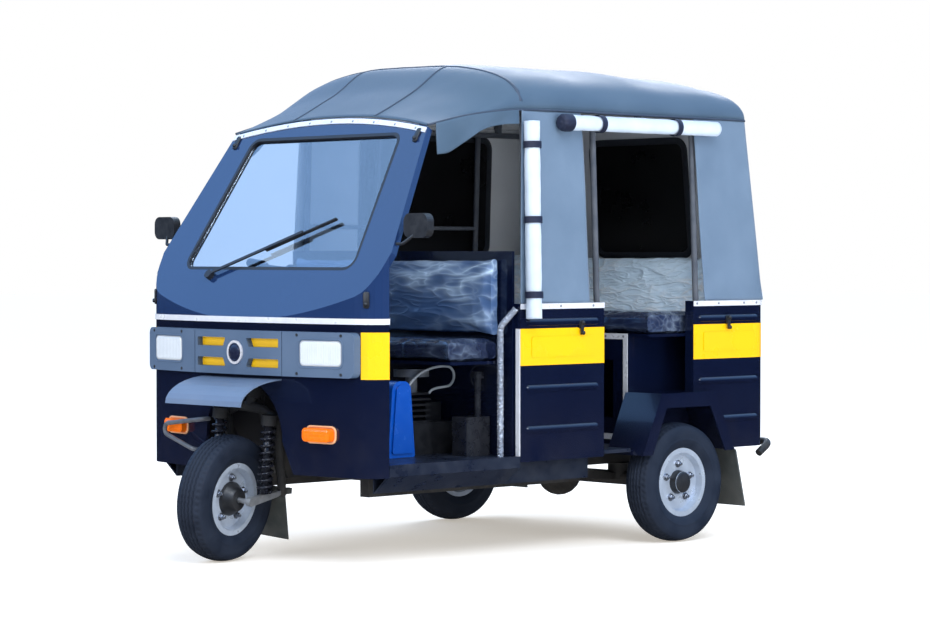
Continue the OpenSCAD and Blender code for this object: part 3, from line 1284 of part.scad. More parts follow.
// Rolled side curtains tied up with straps
strap_t = 2;
strap_w = 26;
roll_gap = 2;
roll_foot_z = 932;
roll_foot_back = 36;
roll_head_back = 52;
roll_drop = 45;
level_front = 238;
level_rear = 124;
roll_off = roll_d / 2 + strap_t + roll_gap;
level_z = seam_z - roll_drop;
roll_low = [half_w + strip_t + roll_off, partition_st + roll_foot_back, roll_foot_z];
roll_high = [wall_x(level_z) + roll_off, partition_st + roll_head_back, level_z];
level_start = [wall_x(level_z) + roll_off, mid_end_st - level_front, level_z];
level_end = [wall_x(level_z) + roll_off, quarter_st + level_rear, level_z];
upright_strap_shares = [0.12, 0.5, 0.88];
level_strap_shares = [0.22, 0.72];
module curtain_rolls() color([0.9, 0.9, 0.92]) placed() {
    bar(roll_low, roll_high, roll_d);
    bar(level_start, level_end, roll_d);
}
module strap(p, q, s) {
    run = (q - p) / norm(q - p) * strap_w / 2;
    mid = p + (q - p) * s;
    difference() {
        bar(mid - run, mid + run, roll_d + 2 * strap_t);
        bar(mid - run * 2, mid + run * 2, roll_d + 2 * seat_gap);
    }
}
module curtain_straps() color(vinyl_colour) placed() {
    for (s = upright_strap_shares) strap(roll_low, roll_high, s);
    for (s = level_strap_shares) strap(level_start, level_end, s);
}

chassis_frame();
rear_axle();
wheel_well();
floor_pan();
front_apron();
front_cowl();
windscreen_seal();
windscreen_glass();
grille_panel();
grille_inserts();
grille_disc();
headlamps();
front_indicators();
wheel_visor();
guard_loop();
mirrors();
wiper();
bright_strips();
side_panels_left();
side_panel_right();
tail_panel();
tail_lamps();
yellow_bands();
rear_fenders();
rear_mudflaps();
rear_bumper();
partition();
driver_cushion();
driver_backrest();
seat_box();
seat_trim();
passenger_cushion();
passenger_backrest();
engine_block();
fan_cowl();
air_cleaner();
fuel_tank();
grab_rail();
canopy_posts();
canopy_bows();
canopy_roof();
canopy_sides_left();
canopy_side_right();
canopy_back();
window_panes();
curtain_rolls();
curtain_straps();
fork();
front_links();
front_springs();
handlebar();
front_mudflap();
front_tyre();
front_rim();
rear_tyre_left();
rear_rim_left();
rear_tyre_right();
rear_rim_right();
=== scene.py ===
"""Looks of a three-wheeled auto rickshaw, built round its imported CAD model."""
import json
import math

import bpy
from mathutils import Matrix, Vector, noise


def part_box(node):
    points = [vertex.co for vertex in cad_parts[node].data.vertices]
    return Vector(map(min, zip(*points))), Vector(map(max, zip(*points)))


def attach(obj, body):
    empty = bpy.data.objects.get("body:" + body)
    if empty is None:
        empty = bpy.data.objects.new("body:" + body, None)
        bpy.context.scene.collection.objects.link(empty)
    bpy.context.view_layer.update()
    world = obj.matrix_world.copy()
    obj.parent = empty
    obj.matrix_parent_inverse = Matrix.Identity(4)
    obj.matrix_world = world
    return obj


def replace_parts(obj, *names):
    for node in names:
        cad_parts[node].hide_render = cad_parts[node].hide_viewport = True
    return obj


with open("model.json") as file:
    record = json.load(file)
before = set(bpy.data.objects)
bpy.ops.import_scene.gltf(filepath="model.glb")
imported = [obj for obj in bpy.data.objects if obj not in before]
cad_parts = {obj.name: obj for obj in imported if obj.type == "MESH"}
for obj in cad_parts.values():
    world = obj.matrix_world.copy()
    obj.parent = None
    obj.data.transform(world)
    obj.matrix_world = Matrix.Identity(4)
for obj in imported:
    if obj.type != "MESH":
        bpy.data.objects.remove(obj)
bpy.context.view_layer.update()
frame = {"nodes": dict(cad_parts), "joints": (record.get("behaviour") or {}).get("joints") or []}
nodes = frame["nodes"]

# Camera and studio: a long lens at bonnet height, off the vehicle's front left corner.
# The floor and the background are plain and pale, under a soft sky and large lamps; the paint
# mirrors a dark road, a dim skyline and a blue sky instead.
camera_data = bpy.data.cameras.new("camera")
camera_data.lens = 110.15
camera_data.sensor_width = 36.0
camera_data.clip_end = 300.0
camera = bpy.data.objects.new("camera", camera_data)
camera.location = (8.5652, -7.9864, 1.1844)
camera.rotation_euler = (math.radians(88.87), 0.0, math.radians(46.40))
bpy.context.scene.collection.objects.link(camera)
bpy.context.scene.camera = camera
bpy.context.scene.view_settings.view_transform = "Standard"

floor_half = 60.0
floor_drop = 0.001
floor_mesh = bpy.data.meshes.new("studio_floor")
floor_corners = [(floor_half * x, floor_half * y, 0) for x, y in ((-1, -1), (1, -1), (1, 1), (-1, 1))]
floor_mesh.from_pydata(floor_corners, [], [(0, 1, 2, 3)])
floor = bpy.data.objects.new("studio_floor", floor_mesh)
floor.location.z = -floor_drop
bpy.context.scene.collection.objects.link(floor)
floor_material = bpy.data.materials.new("pale_floor")
floor_material.use_nodes = True
floor_tree = floor_material.node_tree
floor_shader = floor_tree.nodes["Principled BSDF"]
floor_shader.inputs["Base Color"].default_value = (0.92, 0.91, 0.90, 1)
floor_shader.inputs["Roughness"].default_value = 0.9
floor_shader.inputs["Specular IOR Level"].default_value = 0.0
floor_shader.inputs["Emission Color"].default_value = (1.0, 0.92, 0.80, 1)
floor_shader.inputs["Emission Strength"].default_value = 0.42
floor_dark = floor_tree.nodes.new("ShaderNodeEmission")
floor_dark.inputs["Color"].default_value = (0.022, 0.026, 0.040, 1)
floor_path = floor_tree.nodes.new("ShaderNodeLightPath")
floor_mix = floor_tree.nodes.new("ShaderNodeMixShader")
floor_tree.links.new(floor_path.outputs["Is Glossy Ray"], floor_mix.inputs["Fac"])
floor_tree.links.new(floor_shader.outputs["BSDF"], floor_mix.inputs[1])
floor_tree.links.new(floor_dark.outputs["Emission"], floor_mix.inputs[2])
floor_tree.links.new(floor_mix.outputs["Shader"], floor_tree.nodes["Material Output"].inputs["Surface"])
floor_mesh.materials.append(floor_material)

world = bpy.data.worlds.new("pale_sky")
world.use_nodes = True
sky = world.node_tree
sky_split = sky.nodes.new("ShaderNodeSeparateXYZ")
sky_level = sky.nodes.new("ShaderNodeMapRange")
sky_level.inputs["From Min"].default_value = -1.0
sky.links.new(sky.nodes.new("ShaderNodeTexCoord").outputs["Generated"], sky_split.inputs["Vector"])
sky.links.new(sky_split.outputs["Z"], sky_level.inputs["Value"])


def sky_shine(shine, strength, stops):
    ramp = sky.nodes.new("ShaderNodeValToRGB")
    for end in (0, -1):
        ramp.color_ramp.elements[end].position, ramp.color_ramp.elements[end].color = stops[end]
    for place, colour in stops[1:-1]:
        ramp.color_ramp.elements.new(place).color = colour
    sky.links.new(sky_level.outputs["Result"], ramp.inputs["Fac"])
    sky.links.new(ramp.outputs["Color"], shine.inputs["Color"])
    shine.inputs["Strength"].default_value = strength
    return shine.outputs["Background"]


def sky_mix(share, first, second):
    mix = sky.nodes.new("ShaderNodeMixShader")
    for socket, value in zip(mix.inputs, (share, first, second)):
        sky.links.new(value, socket)
    return mix.outputs["Shader"]


# Stops of each sky: a share from straight down to straight up, and a colour
sky_light = sky_shine(sky.nodes["Background"], 0.95, [
    (0.48, (0.93, 0.96, 1.0, 1)), (0.80, (0.62, 0.78, 1.0, 1))])
sky_mirrored = sky_shine(sky.nodes.new("ShaderNodeBackground"), 2.0, [
    (0.50, (0.03, 0.04, 0.06, 1)), (0.54, (0.035, 0.07, 0.13, 1)), (0.64, (0.12, 0.25, 0.52, 1)),
    (0.78, (0.24, 0.48, 0.95, 1)), (0.90, (0.50, 0.74, 1.0, 1))])
sky_backdrop = sky.nodes.new("ShaderNodeBackground")
sky_backdrop.inputs["Color"].default_value = (1.0, 1.0, 1.0, 1)
sky_path = sky.nodes.new("ShaderNodeLightPath")
sky_reflected = sky.nodes.new("ShaderNodeMath")
sky_reflected.operation = "SUBTRACT"
sky_reflected.use_clamp = True
sky.links.new(sky_path.outputs["Is Glossy Ray"], sky_reflected.inputs[0])
sky.links.new(sky_path.outputs["Is Transmission Ray"], sky_reflected.inputs[1])
sky_choice = sky_mix(sky_reflected.outputs["Value"], sky_light, sky_mirrored)
sky_choice = sky_mix(sky_path.outputs["Is Camera Ray"], sky_choice, sky_backdrop.outputs["Background"])
sky.links.new(sky_choice, sky.nodes["World Output"].inputs["Surface"])
bpy.context.scene.world = world
# Each lamp: name, place, point it faces, width, height, power, and whether the paint mirrors it
lamp_rows = [
    ("key_lamp", (5.5, -3.0, 5.5), (0.0, 0.0, 1.0), 4.0, 3.0, 280.0, True),
    ("side_lamp", (7.0, 0.8, 1.6), (0.0, 0.4, 1.2), 3.0, 2.0, 170.0, False),
    ("front_lamp", (0.5, -8.0, 3.5), (0.0, -0.5, 0.9), 4.0, 2.5, 220.0, True),
    ("back_lamp", (-4.0, 5.0, 5.0), (0.0, 0.0, 1.2), 4.0, 3.0, 200.0, True),
]
for lamp_name, lamp_place, lamp_target, lamp_w, lamp_h, lamp_power, lamp_mirrored in lamp_rows:
    lamp_data = bpy.data.lights.new(lamp_name, "AREA")
    lamp_data.shape = "RECTANGLE"
    lamp_data.size = lamp_w
    lamp_data.size_y = lamp_h
    lamp_data.energy = lamp_power
    lamp = bpy.data.objects.new(lamp_name, lamp_data)
    lamp.location = lamp_place
    lamp.visible_glossy = lamp_mirrored
    lamp.rotation_euler = (Vector(lamp_target) - Vector(lamp_place)).to_track_quat("-Z", "Y").to_euler()
    bpy.context.scene.collection.objects.link(lamp)


# Chassis, axle, bumper and guard: steel tube and pressings in black paint, chalky where stones
# and dust reach them. Two surface groups give the finishes their uneven tone and their road dust.
def shader_group(name, inputs, outputs):
    group = bpy.data.node_groups.new(name, "ShaderNodeTree")
    for socket_name, value in inputs.items():
        kind = "NodeSocketColor" if isinstance(value, tuple) else "NodeSocketFloat"
        socket = group.interface.new_socket(name=socket_name, in_out="INPUT", socket_type=kind)
        socket.default_value = value
    for socket_name in outputs:
        kind = "NodeSocketColor" if socket_name == "Color" else "NodeSocketFloat"
        group.interface.new_socket(name=socket_name, in_out="OUTPUT", socket_type=kind)
    return group, group.nodes.new("NodeGroupInput").outputs, group.nodes.new("NodeGroupOutput").inputs


def noise_node(group, coordinates, scale, detail, roughness=0.55, distortion=0.0):
    texture = group.nodes.new("ShaderNodeTexNoise")
    texture.inputs["Detail"].default_value = detail
    texture.inputs["Roughness"].default_value = roughness
    texture.inputs["Distortion"].default_value = distortion
    group.links.new(coordinates, texture.inputs["Vector"])
    if isinstance(scale, float):
        texture.inputs["Scale"].default_value = scale
    else:
        group.links.new(scale, texture.inputs["Scale"])
    return texture.outputs["Fac"]


def math_node(group, operation, first, second, third=0.0, clamp=False):
    step = group.nodes.new("ShaderNodeMath")
    step.operation = operation
    step.use_clamp = clamp
    for socket, value in zip(step.inputs, (first, second, third)):
        if isinstance(value, (int, float)):
            socket.default_value = value
        else:
            group.links.new(value, socket)
    return step.outputs["Value"]


def mix_colour(group, share, first, second):
    mix = group.nodes.new("ShaderNodeMix")
    mix.data_type = "RGBA"
    group.links.new(share, mix.inputs["Factor"])
    for socket, value in ((mix.inputs[6], first), (mix.inputs[7], second)):
        if isinstance(value, tuple):
            socket.default_value = value
        else:
            group.links.new(value, socket)
    return mix.outputs[2]


grey = (0.5, 0.5, 0.5, 1)
uneven_tone, tone_in, tone_out = shader_group("uneven_tone", {
    "Tint": grey, "Worn Tint": grey, "Wear": 0.3, "Scale": 8.0, "Roughness": 0.5, "Roughness Spread": 0.15,
    "Grain Scale": 400.0}, ("Color", "Roughness", "Height"))
tone_gain, tone_offset, tone_middle = 2.4, -0.75, 0.5
tone_place = uneven_tone.nodes.new("ShaderNodeTexCoord").outputs["Object"]
tone_broad = noise_node(uneven_tone, tone_place, tone_in["Scale"], detail=4.0)
tone_fine = noise_node(uneven_tone, tone_place, tone_in["Grain Scale"], detail=3.0)
tone_mask = math_node(uneven_tone, "MULTIPLY_ADD", tone_broad, tone_gain, tone_offset, True)
tone_share = math_node(uneven_tone, "MULTIPLY", tone_mask, tone_in["Wear"], clamp=True)
tone_colour = mix_colour(uneven_tone, tone_share, tone_in["Tint"], tone_in["Worn Tint"])
tone_step = math_node(uneven_tone, "SUBTRACT", tone_mask, tone_middle)
tone_rough = math_node(uneven_tone, "MULTIPLY", tone_step, tone_in["Roughness Spread"])
tone_rough = math_node(uneven_tone, "ADD", tone_rough, tone_in["Roughness"], clamp=True)
uneven_tone.links.new(tone_colour, tone_out["Color"])
uneven_tone.links.new(tone_rough, tone_out["Roughness"])
uneven_tone.links.new(tone_fine, tone_out["Height"])

# Dust settles low on the vehicle, in patches: its mask fades out at a height
road_dust, dust_in, dust_out = shader_group("road_dust", {
    "Color": grey, "Roughness": 0.5, "Amount": 0.3, "Fade Height": 0.7}, ("Color", "Roughness"))
dust_tint = (0.21, 0.19, 0.165, 1)
dust_scale, dust_gain, dust_offset, dust_dullness = 7.0, 2.2, -0.6, 0.5
dust_place = road_dust.nodes.new("ShaderNodeTexCoord").outputs["Object"]
dust_split = road_dust.nodes.new("ShaderNodeSeparateXYZ")
road_dust.links.new(dust_place, dust_split.inputs["Vector"])
dust_low = math_node(road_dust, "DIVIDE", dust_split.outputs["Z"], dust_in["Fade Height"])
dust_low = math_node(road_dust, "SUBTRACT", 1.0, dust_low, clamp=True)
dust_patch = noise_node(road_dust, dust_place, dust_scale, detail=6.0, roughness=0.7)
dust_patch = math_node(road_dust, "MULTIPLY_ADD", dust_patch, dust_gain, dust_offset, True)
dust_mask = math_node(road_dust, "MULTIPLY", dust_low, dust_patch)
dust_mask = math_node(road_dust, "MULTIPLY", dust_mask, dust_in["Amount"], clamp=True)
dust_colour = mix_colour(road_dust, dust_mask, dust_in["Color"], dust_tint)
road_dust.links.new(dust_colour, dust_out["Color"])
dust_rough = math_node(road_dust, "MULTIPLY_ADD", dust_mask, dust_dullness, dust_in["Roughness"], True)
road_dust.links.new(dust_rough, dust_out["Roughness"])


def placed_group(tree, group, **values):
    placed = tree.nodes.new("ShaderNodeGroup")
    placed.node_tree = group
    for socket_name, value in values.items():
        placed.inputs[socket_name.replace("_", " ")].default_value = value
    return placed


def relief(tree, height, depth, strength=0.5):
    bump = tree.nodes.new("ShaderNodeBump")
    bump.inputs["Strength"].default_value = strength
    bump.inputs["Distance"].default_value = depth
    tree.links.new(height, bump.inputs["Height"])
    tree.links.new(bump.outputs["Normal"], tree.nodes["Principled BSDF"].inputs["Normal"])


def finish_from(name, group, values, bump, strength, dust, sockets):
    made = bpy.data.materials.new(name)
    made.use_nodes = True
    tree = made.node_tree
    shader = tree.nodes["Principled BSDF"]
    finish = placed_group(tree, group, **values)
    if bump:
        relief(tree, finish.outputs["Height"], bump, strength)
    if dust:
        film = placed_group(tree, road_dust, Amount=dust)
        tree.links.new(finish.outputs["Color"], film.inputs["Color"])
        tree.links.new(finish.outputs["Roughness"], film.inputs["Roughness"])
        finish = film
    tree.links.new(finish.outputs["Color"], shader.inputs["Base Color"])
    tree.links.new(finish.outputs["Roughness"], shader.inputs["Roughness"])
    for socket_name, value in sockets.items():
        shader.inputs[socket_name.replace("_", " ")].default_value = value
    return made


def toned_finish(name, tint, worn, scale, rough, wear=0.5, spread=0.2, grain=400.0, bump=0.0, dust=0.0,
                 **sockets):
    values = {"Tint": (*tint, 1), "Worn_Tint": (*worn, 1), "Wear": wear, "Scale": scale, "Roughness": rough,
              "Roughness_Spread": spread, "Grain_Scale": grain}
    return finish_from(name, uneven_tone, values, bump, 0.5, dust, sockets)


def dress(material, *names):
    for name in names:
        nodes[name].data.materials.clear()
        nodes[name].data.materials.append(material)


black_steel = toned_finish(
    "black_chassis_paint", (0.010, 0.011, 0.014), (0.035, 0.034, 0.034), scale=9.0, rough=0.45,
    grain=300.0, bump=0.0003, dust=0.35, Specular_IOR_Level=0.3)
dress(black_steel, "chassis_frame", "rear_axle", "rear_bumper", "fork", "handlebar")
guard_grey = toned_finish(
    "guard_grey_paint", (0.13, 0.14, 0.16), (0.05, 0.05, 0.055), scale=30.0, rough=0.4, wear=0.7,
    grain=500.0, bump=0.0002)
dress(guard_grey, "guard_loop")

# Front suspension: cast alloy links, and black coil springs round their dampers. They are set
# straight ahead and then turned with the fork.
steering = next(j for j in frame["joints"] if j["name"] == "steering")
steer_pivot = Vector(steering["pos_m"])
parked_turn = math.radians(15.0)
parked = (Matrix.Translation(steer_pivot) @ Matrix.Rotation(parked_turn, 4, Vector(steering["axis"]))
          @ Matrix.Translation(-steer_pivot))


def new_piece(name, shape, material, body="body", smooth=True):
    points, faces = shape
    mesh = bpy.data.meshes.new(name)
    mesh.from_pydata([tuple(p) for p in points], [], faces)
    mesh.validate()
    mesh.polygons.foreach_set("use_smooth", [smooth] * len(mesh.polygons))
    mesh.materials.append(material)
    made = bpy.data.objects.new(name, mesh)
    bpy.context.scene.collection.objects.link(made)
    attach(made, body)
    return made


def joined(*shapes):
    points, faces = [], []
    for more_points, more_faces in shapes:
        faces += [tuple(k + len(points) for k in face) for face in more_faces]
        points += more_points
    return points, faces


def grid_faces(rows, columns, closed_rows=False, closed_columns=False):
    row_steps = rows if closed_rows else rows - 1
    column_steps = columns if closed_columns else columns - 1
    return [(i * columns + j, i * columns + (j + 1) % columns,
             (i + 1) % rows * columns + (j + 1) % columns, (i + 1) % rows * columns + j)
            for i in range(row_steps) for j in range(column_steps)]


def tube_shape(path, radius, sides, closed=False):
    points = []
    up = Vector((0.0, 0.0, 1.0))
    count = len(path)
    for i, p in enumerate(path):
        after = path[(i + 1) % count] if closed else path[min(i + 1, count - 1)]
        before = path[i - 1] if closed else path[max(i - 1, 0)]
        way = (after - before).normalized()
        if abs(way.dot(up)) > 0.95:
            up = Vector((1.0, 0.0, 0.0))
        up = (up - way * way.dot(up)).normalized()
        side = way.cross(up)
        for k in range(sides):
            a = 2 * math.pi * k / sides
            points.append(p + radius * (up * math.cos(a) + side * math.sin(a)))
    faces = grid_faces(count, sides, closed, True)
    if not closed:
        faces.append(tuple(range(sides - 1, -1, -1)))
        faces.append(tuple(range((count - 1) * sides, count * sides)))
    return points, faces


link_alloy = toned_finish(
    "cast_link_alloy", (0.55, 0.57, 0.60), (0.30, 0.31, 0.32), scale=40.0, rough=0.35, wear=0.6,
    grain=700.0, bump=0.0002, dust=0.3, Metallic=0.75)
dress(link_alloy, "front_links")
spring_paint = toned_finish(
    "spring_black_paint", (0.008, 0.009, 0.016), (0.03, 0.03, 0.035), scale=40.0, rough=0.3)
spring_x, spring_y = 0.118, -1.0115
spring_low, spring_high = 0.2688, 0.5357
coil_radius, coil_wire = 0.0265, 0.0052
coil_turns, coil_steps, coil_sides = 9.5, 28, 8
coil_end_share, coil_end_squeeze = 1 / 9, 0.02
damper_radius, damper_sides = 0.0165, 24
damper_shares = (0.0, 0.5, 0.505, 1.0)
for side_name, side in (("left", 1), ("right", -1)):
    coil_path = []
    for i in range(int(coil_turns * coil_steps) + 1):
        a = 2 * math.pi * i / coil_steps
        rise = i / (coil_turns * coil_steps)
        ends = min(1.0, min(rise, 1 - rise) / coil_end_share)
        rise += coil_end_squeeze * (1 - ends) * (0.5 - rise)
        height = spring_low + coil_wire + (spring_high - spring_low - 2 * coil_wire) * rise
        coil_path.append(parked @ Vector((side * spring_x + coil_radius * math.cos(a),
                                          spring_y + coil_radius * math.sin(a), height)))
    damper_path = [parked @ Vector((side * spring_x, spring_y, spring_low + (spring_high - spring_low) * s))
                   for s in damper_shares]
    spring_shape = joined(tube_shape(coil_path, coil_wire, coil_sides),
                          tube_shape(damper_path, damper_radius, damper_sides))
    spring = new_piece("front_spring_" + side_name, spring_shape, spring_paint, "steering")
    if side == 1:
        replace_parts(spring, "front_springs")

# Wheels: silver painted steel rims, black hubs with bright nuts, and tyres with zigzag grooves in
# the tread. Each set is built on its own axle and turns with its wheel.
silver_rim = toned_finish(
    "silver_rim_paint", (0.50, 0.57, 0.68), (0.28, 0.32, 0.38), scale=20.0, rough=0.35, grain=500.0,
    bump=0.0002, Metallic=0.4)
dress(silver_rim, "front_rim", "rear_rim_left", "rear_rim_right")
tyre_rubber = toned_finish(
    "tyre_rubber", (0.007, 0.012, 0.025), (0.020, 0.029, 0.050), scale=14.0, rough=0.72, grain=900.0,
    bump=0.0003, Specular_IOR_Level=0.35)
hub_paint = toned_finish(
    "black_hub_paint", (0.012, 0.013, 0.016), (0.05, 0.05, 0.05), scale=30.0, rough=0.4)
nut_plate = toned_finish(
    "dull_nut_plate", (0.34, 0.36, 0.40), (0.20, 0.20, 0.22), scale=60.0, rough=0.3, Metallic=0.85)


def wheel_place(joint_name, flip):
    joint = next(j for j in frame["joints"] if j["name"] == joint_name)
    axle = Vector(joint["axis"]).normalized() * flip
    up = (Vector((0, 0, 1)) - axle * axle.z).normalized()
    turn = Matrix((axle, up.cross(axle), up)).transposed().to_4x4()
    return Matrix.Translation(joint["pos_m"]) @ turn


def shifted(place, *shift):
    return place @ Matrix.Translation(shift)


tread_half, tread_columns = 0.047, 62
tread_crown, tread_arch = 0.245, 0.125
wheel_steps = 240
groove_places = (-0.025, -0.0085, 0.0085, 0.025)
groove_depth, groove_half, groove_side, groove_wave = 0.006, 0.00416, 0.00208, 0.0022
groove_waves = 60
shoulder_start, shoulder_fade = 0.036, 0.004
notch_depth, notch_middle, notch_half, notch_side = 0.0045, 0.25, 0.16, 0.08
# Sidewall from the shoulder to the bead: offset from the middle plane, and radius
sidewall = ((0.0525, 0.2335), (0.0565, 0.2275), (0.0595, 0.219), (0.0605, 0.2165), (0.0618, 0.2085),
            (0.0625, 0.198), (0.0624, 0.188), (0.0618, 0.1785), (0.0625, 0.1765), (0.0618, 0.1745),
            (0.0595, 0.166), (0.0565, 0.158), (0.0525, 0.1505), (0.0475, 0.1435), (0.0463, 0.1413),
            (0.0397, 0.1413))


def clamped(value):
    return max(0.0, min(1.0, value))


def tread_radius(x, a):
    radius = tread_crown - tread_arch + math.sqrt(tread_arch ** 2 - x * x)
    lap = a * groove_waves / (2 * math.pi) % 1.0
    wave = abs(lap - 0.5) * 4 - 1
    for place in groove_places:
        off = abs(x - place - groove_wave * wave)
        radius -= groove_depth * clamped((groove_half - off) / groove_side)
    if abs(x) > shoulder_start:
        notch = clamped((notch_half - abs(lap - notch_middle)) / notch_side)
        radius -= notch_depth * notch * min(1.0, (abs(x) - shoulder_start) / shoulder_fade)
    return radius


def tyre_piece(name, place, body, node):
    points = []
    across = [(-x, r) for x, r in reversed(sidewall)]
    across += [(-tread_half + 2 * tread_half * j / (tread_columns - 1), None) for j in range(tread_columns)]
    across += list(sidewall)
    for i in range(wheel_steps):
        a = 2 * math.pi * i / wheel_steps
        for x, r in across:
            radius = tread_radius(x, a) if r is None else r
            points.append(place @ Vector((x, radius * math.cos(a), radius * math.sin(a))))
    shape = points, grid_faces(wheel_steps, len(across), True, True)
    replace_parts(new_piece(name, shape, tyre_rubber, body), node)


def turned(profile, sides, place):
    turns = [2 * math.pi * k / sides for k in range(sides)]
    points = [place @ Vector((x, r * math.cos(a), r * math.sin(a))) for x, r in profile for a in turns]
    return points, grid_faces(len(profile), sides, False, True)


def turned_set(name, places, profiles, material, body="body", smooth=True):
    shape = joined(*[turned(profile, sides, place) for place in places for profile, sides in profiles])
    return new_piece(name, shape, material, body, smooth)


# A wheel nut: its washer, its six flats and the stud's end, as offsets and radii, with their sides
nut_profiles = ((((0.0, 0.0155), (0.0025, 0.0155), (0.003, 0.0145), (0.003, 0.011)), 20),
                (((0.002, 0.011), (0.012, 0.011), (0.013, 0.0098), (0.013, 0.0)), 6),
                (((0.012, 0.0065), (0.021, 0.0065), (0.022, 0.0055), (0.022, 0.0)), 12))
nut_count, nut_face, nut_turn_share = 5, 0.0205, 0.25
hub_sides = 40
front_hub = ((0.0145, 0.066), (0.03, 0.066), (0.036, 0.062), (0.052, 0.05), (0.064, 0.043), (0.0665, 0.038),
             (0.0665, 0.012))
rear_hub = ((0.0145, 0.05), (0.03, 0.048), (0.046, 0.045), (0.0525, 0.042), (0.0545, 0.036), (0.0545, 0.0))
# Each wheel: its name, which side its face is on, its CAD tyre, its hub and the ring of its nuts
wheel_rows = [("front_wheel", 1, "front_tyre", front_hub, 0.083),
              ("rear_left_wheel", 1, "rear_tyre_left", rear_hub, 0.075),
              ("rear_right_wheel", -1, "rear_tyre_right", rear_hub, 0.075)]
for wheel_name, face_side, tyre_node, hub_profile, nut_ring in wheel_rows:
    place = wheel_place(wheel_name + "_spin", face_side)
    tyre_piece(wheel_name + "_tyre", place, wheel_name, tyre_node)
    turned_set(wheel_name + "_hub", [place], [(hub_profile, hub_sides)], hub_paint,
               wheel_name)
    nut_places = []
    for n in range(nut_count):
        a = 2 * math.pi * (n + nut_turn_share) / nut_count
        nut_places.append(shifted(place, nut_face, nut_ring * math.cos(a), nut_ring * math.sin(a)))
    turned_set(wheel_name + "_nuts", nut_places, nut_profiles, nut_plate, wheel_name, False)

# Painted tub: pressed steel panels in gloss navy that is almost black, with road dust low down.
# Black hook latches hang over the tops of the side bands.
axle_y = -1.0995
navy_paint = toned_finish(
    "navy_body_paint", (0.0022, 0.0045, 0.0190), (0.005, 0.009, 0.028), scale=3.0, rough=0.14, wear=0.4,
    spread=0.08, grain=900.0, bump=0.00004, dust=0.08, Specular_IOR_Level=0.4, Coat_Weight=0.25,
    Coat_Roughness=0.04)
dress(
    navy_paint, "front_apron", "side_panels_left", "side_panel_right", "tail_panel", "rear_fenders",
    "partition", "seat_box")
inner_paint = toned_finish(
    "dull_inner_paint", (0.004, 0.005, 0.010), (0.016, 0.017, 0.02), scale=8.0, rough=0.5, bump=0.0002,
    dust=0.3, Specular_IOR_Level=0.3)
dress(inner_paint, "wheel_well")
floor_paint = toned_finish(
    "scuffed_floor_paint", (0.004, 0.008, 0.022), (0.018, 0.026, 0.046), scale=14.0, rough=0.35, wear=0.7,
    spread=0.25, grain=500.0, bump=0.0003, dust=0.1, Specular_IOR_Level=0.4)
dress(floor_paint, "floor_pan")
# The cowl is the body's own navy paint with a bluer tint: a painted reflection of the sky.
cowl_with_painted_sky_tint = toned_finish(
    "navy_cowl_with_painted_sky", (0.009, 0.026, 0.088), (0.014, 0.034, 0.105), scale=2.5, rough=0.15, wear=0.4,
    spread=0.06, grain=900.0, bump=0.00004, Specular_IOR_Level=0.5, Coat_Weight=0.6, Coat_Roughness=0.03)
dress(cowl_with_painted_sky_tint, "front_cowl")
black_plastic = toned_finish(
    "black_moulded_plastic", (0.012, 0.013, 0.016), (0.03, 0.031, 0.034), scale=40.0, rough=0.45,
    spread=0.15, grain=1200.0, bump=0.0002)
# Ways to feel for a surface, and places clear of the body to start from
leftward, rightward, forward, backward = (1, 0, 0), (-1, 0, 0), (0, -1, 0), (0, 1, 0)
beside, ahead, behind = 1.2, -1.7, 2.0


def touch(name, start, way):
    shape = nodes[name].evaluated_get(bpy.context.evaluated_depsgraph_get())
    found, place, normal, _ = shape.ray_cast(Vector(start), Vector(way))
    if not found:
        raise ValueError("nothing to fix to on " + name)
    return place, normal


def facing(place, normal, up=(0.0, 0.0, 1.0)):
    out = Vector(normal).normalized()
    top = (Vector(up) - out * out.dot(Vector(up))).normalized()
    return Matrix.Translation(place) @ Matrix((out, top.cross(out), top)).transposed().to_4x4()


def rounded_loop(width, height, corner, steps=6):
    loop = []
    for n, (sx, sy) in enumerate(((1, 1), (-1, 1), (-1, -1), (1, -1))):
        for i in range(steps + 1):
            a = math.pi / 2 * (n + i / steps)
            loop.append((sx * (width / 2 - corner) + corner * math.cos(a),
                         sy * (height / 2 - corner) + corner * math.sin(a)))
    return loop


def plate_shape(loop, place, thickness, edge):
    rings = ((0.0, 0.0), (0.0, thickness - edge), (edge * 0.3, thickness - edge * 0.3), (edge, thickness))
    points = []
    for inset, height in rings:
        for u, v in loop:
            shrink = 1 - inset / max(math.hypot(u, v), inset + 1e-6)
            points.append(place @ Vector((height, u * shrink, v * shrink)))
    count = len(loop)
    faces = grid_faces(len(rings), count, False, True)
    faces.append(tuple(range((len(rings) - 1) * count, len(rings) * count)))
    faces.append(tuple(range(count - 1, -1, -1)))
    return points, faces


latch_plate, latch_plate_thick, latch_plate_edge = rounded_loop(0.026, 0.034, 0.005), 0.004, 0.0015
latch_tongue, latch_tongue_thick, latch_tongue_edge = rounded_loop(0.016, 0.052, 0.006), 0.005, 0.002
tongue_drop = 0.016
knob_profile, knob_sides = ((0.0, 0.0085), (0.006, 0.0085), (0.009, 0.0065), (0.010, 0.0)), 14
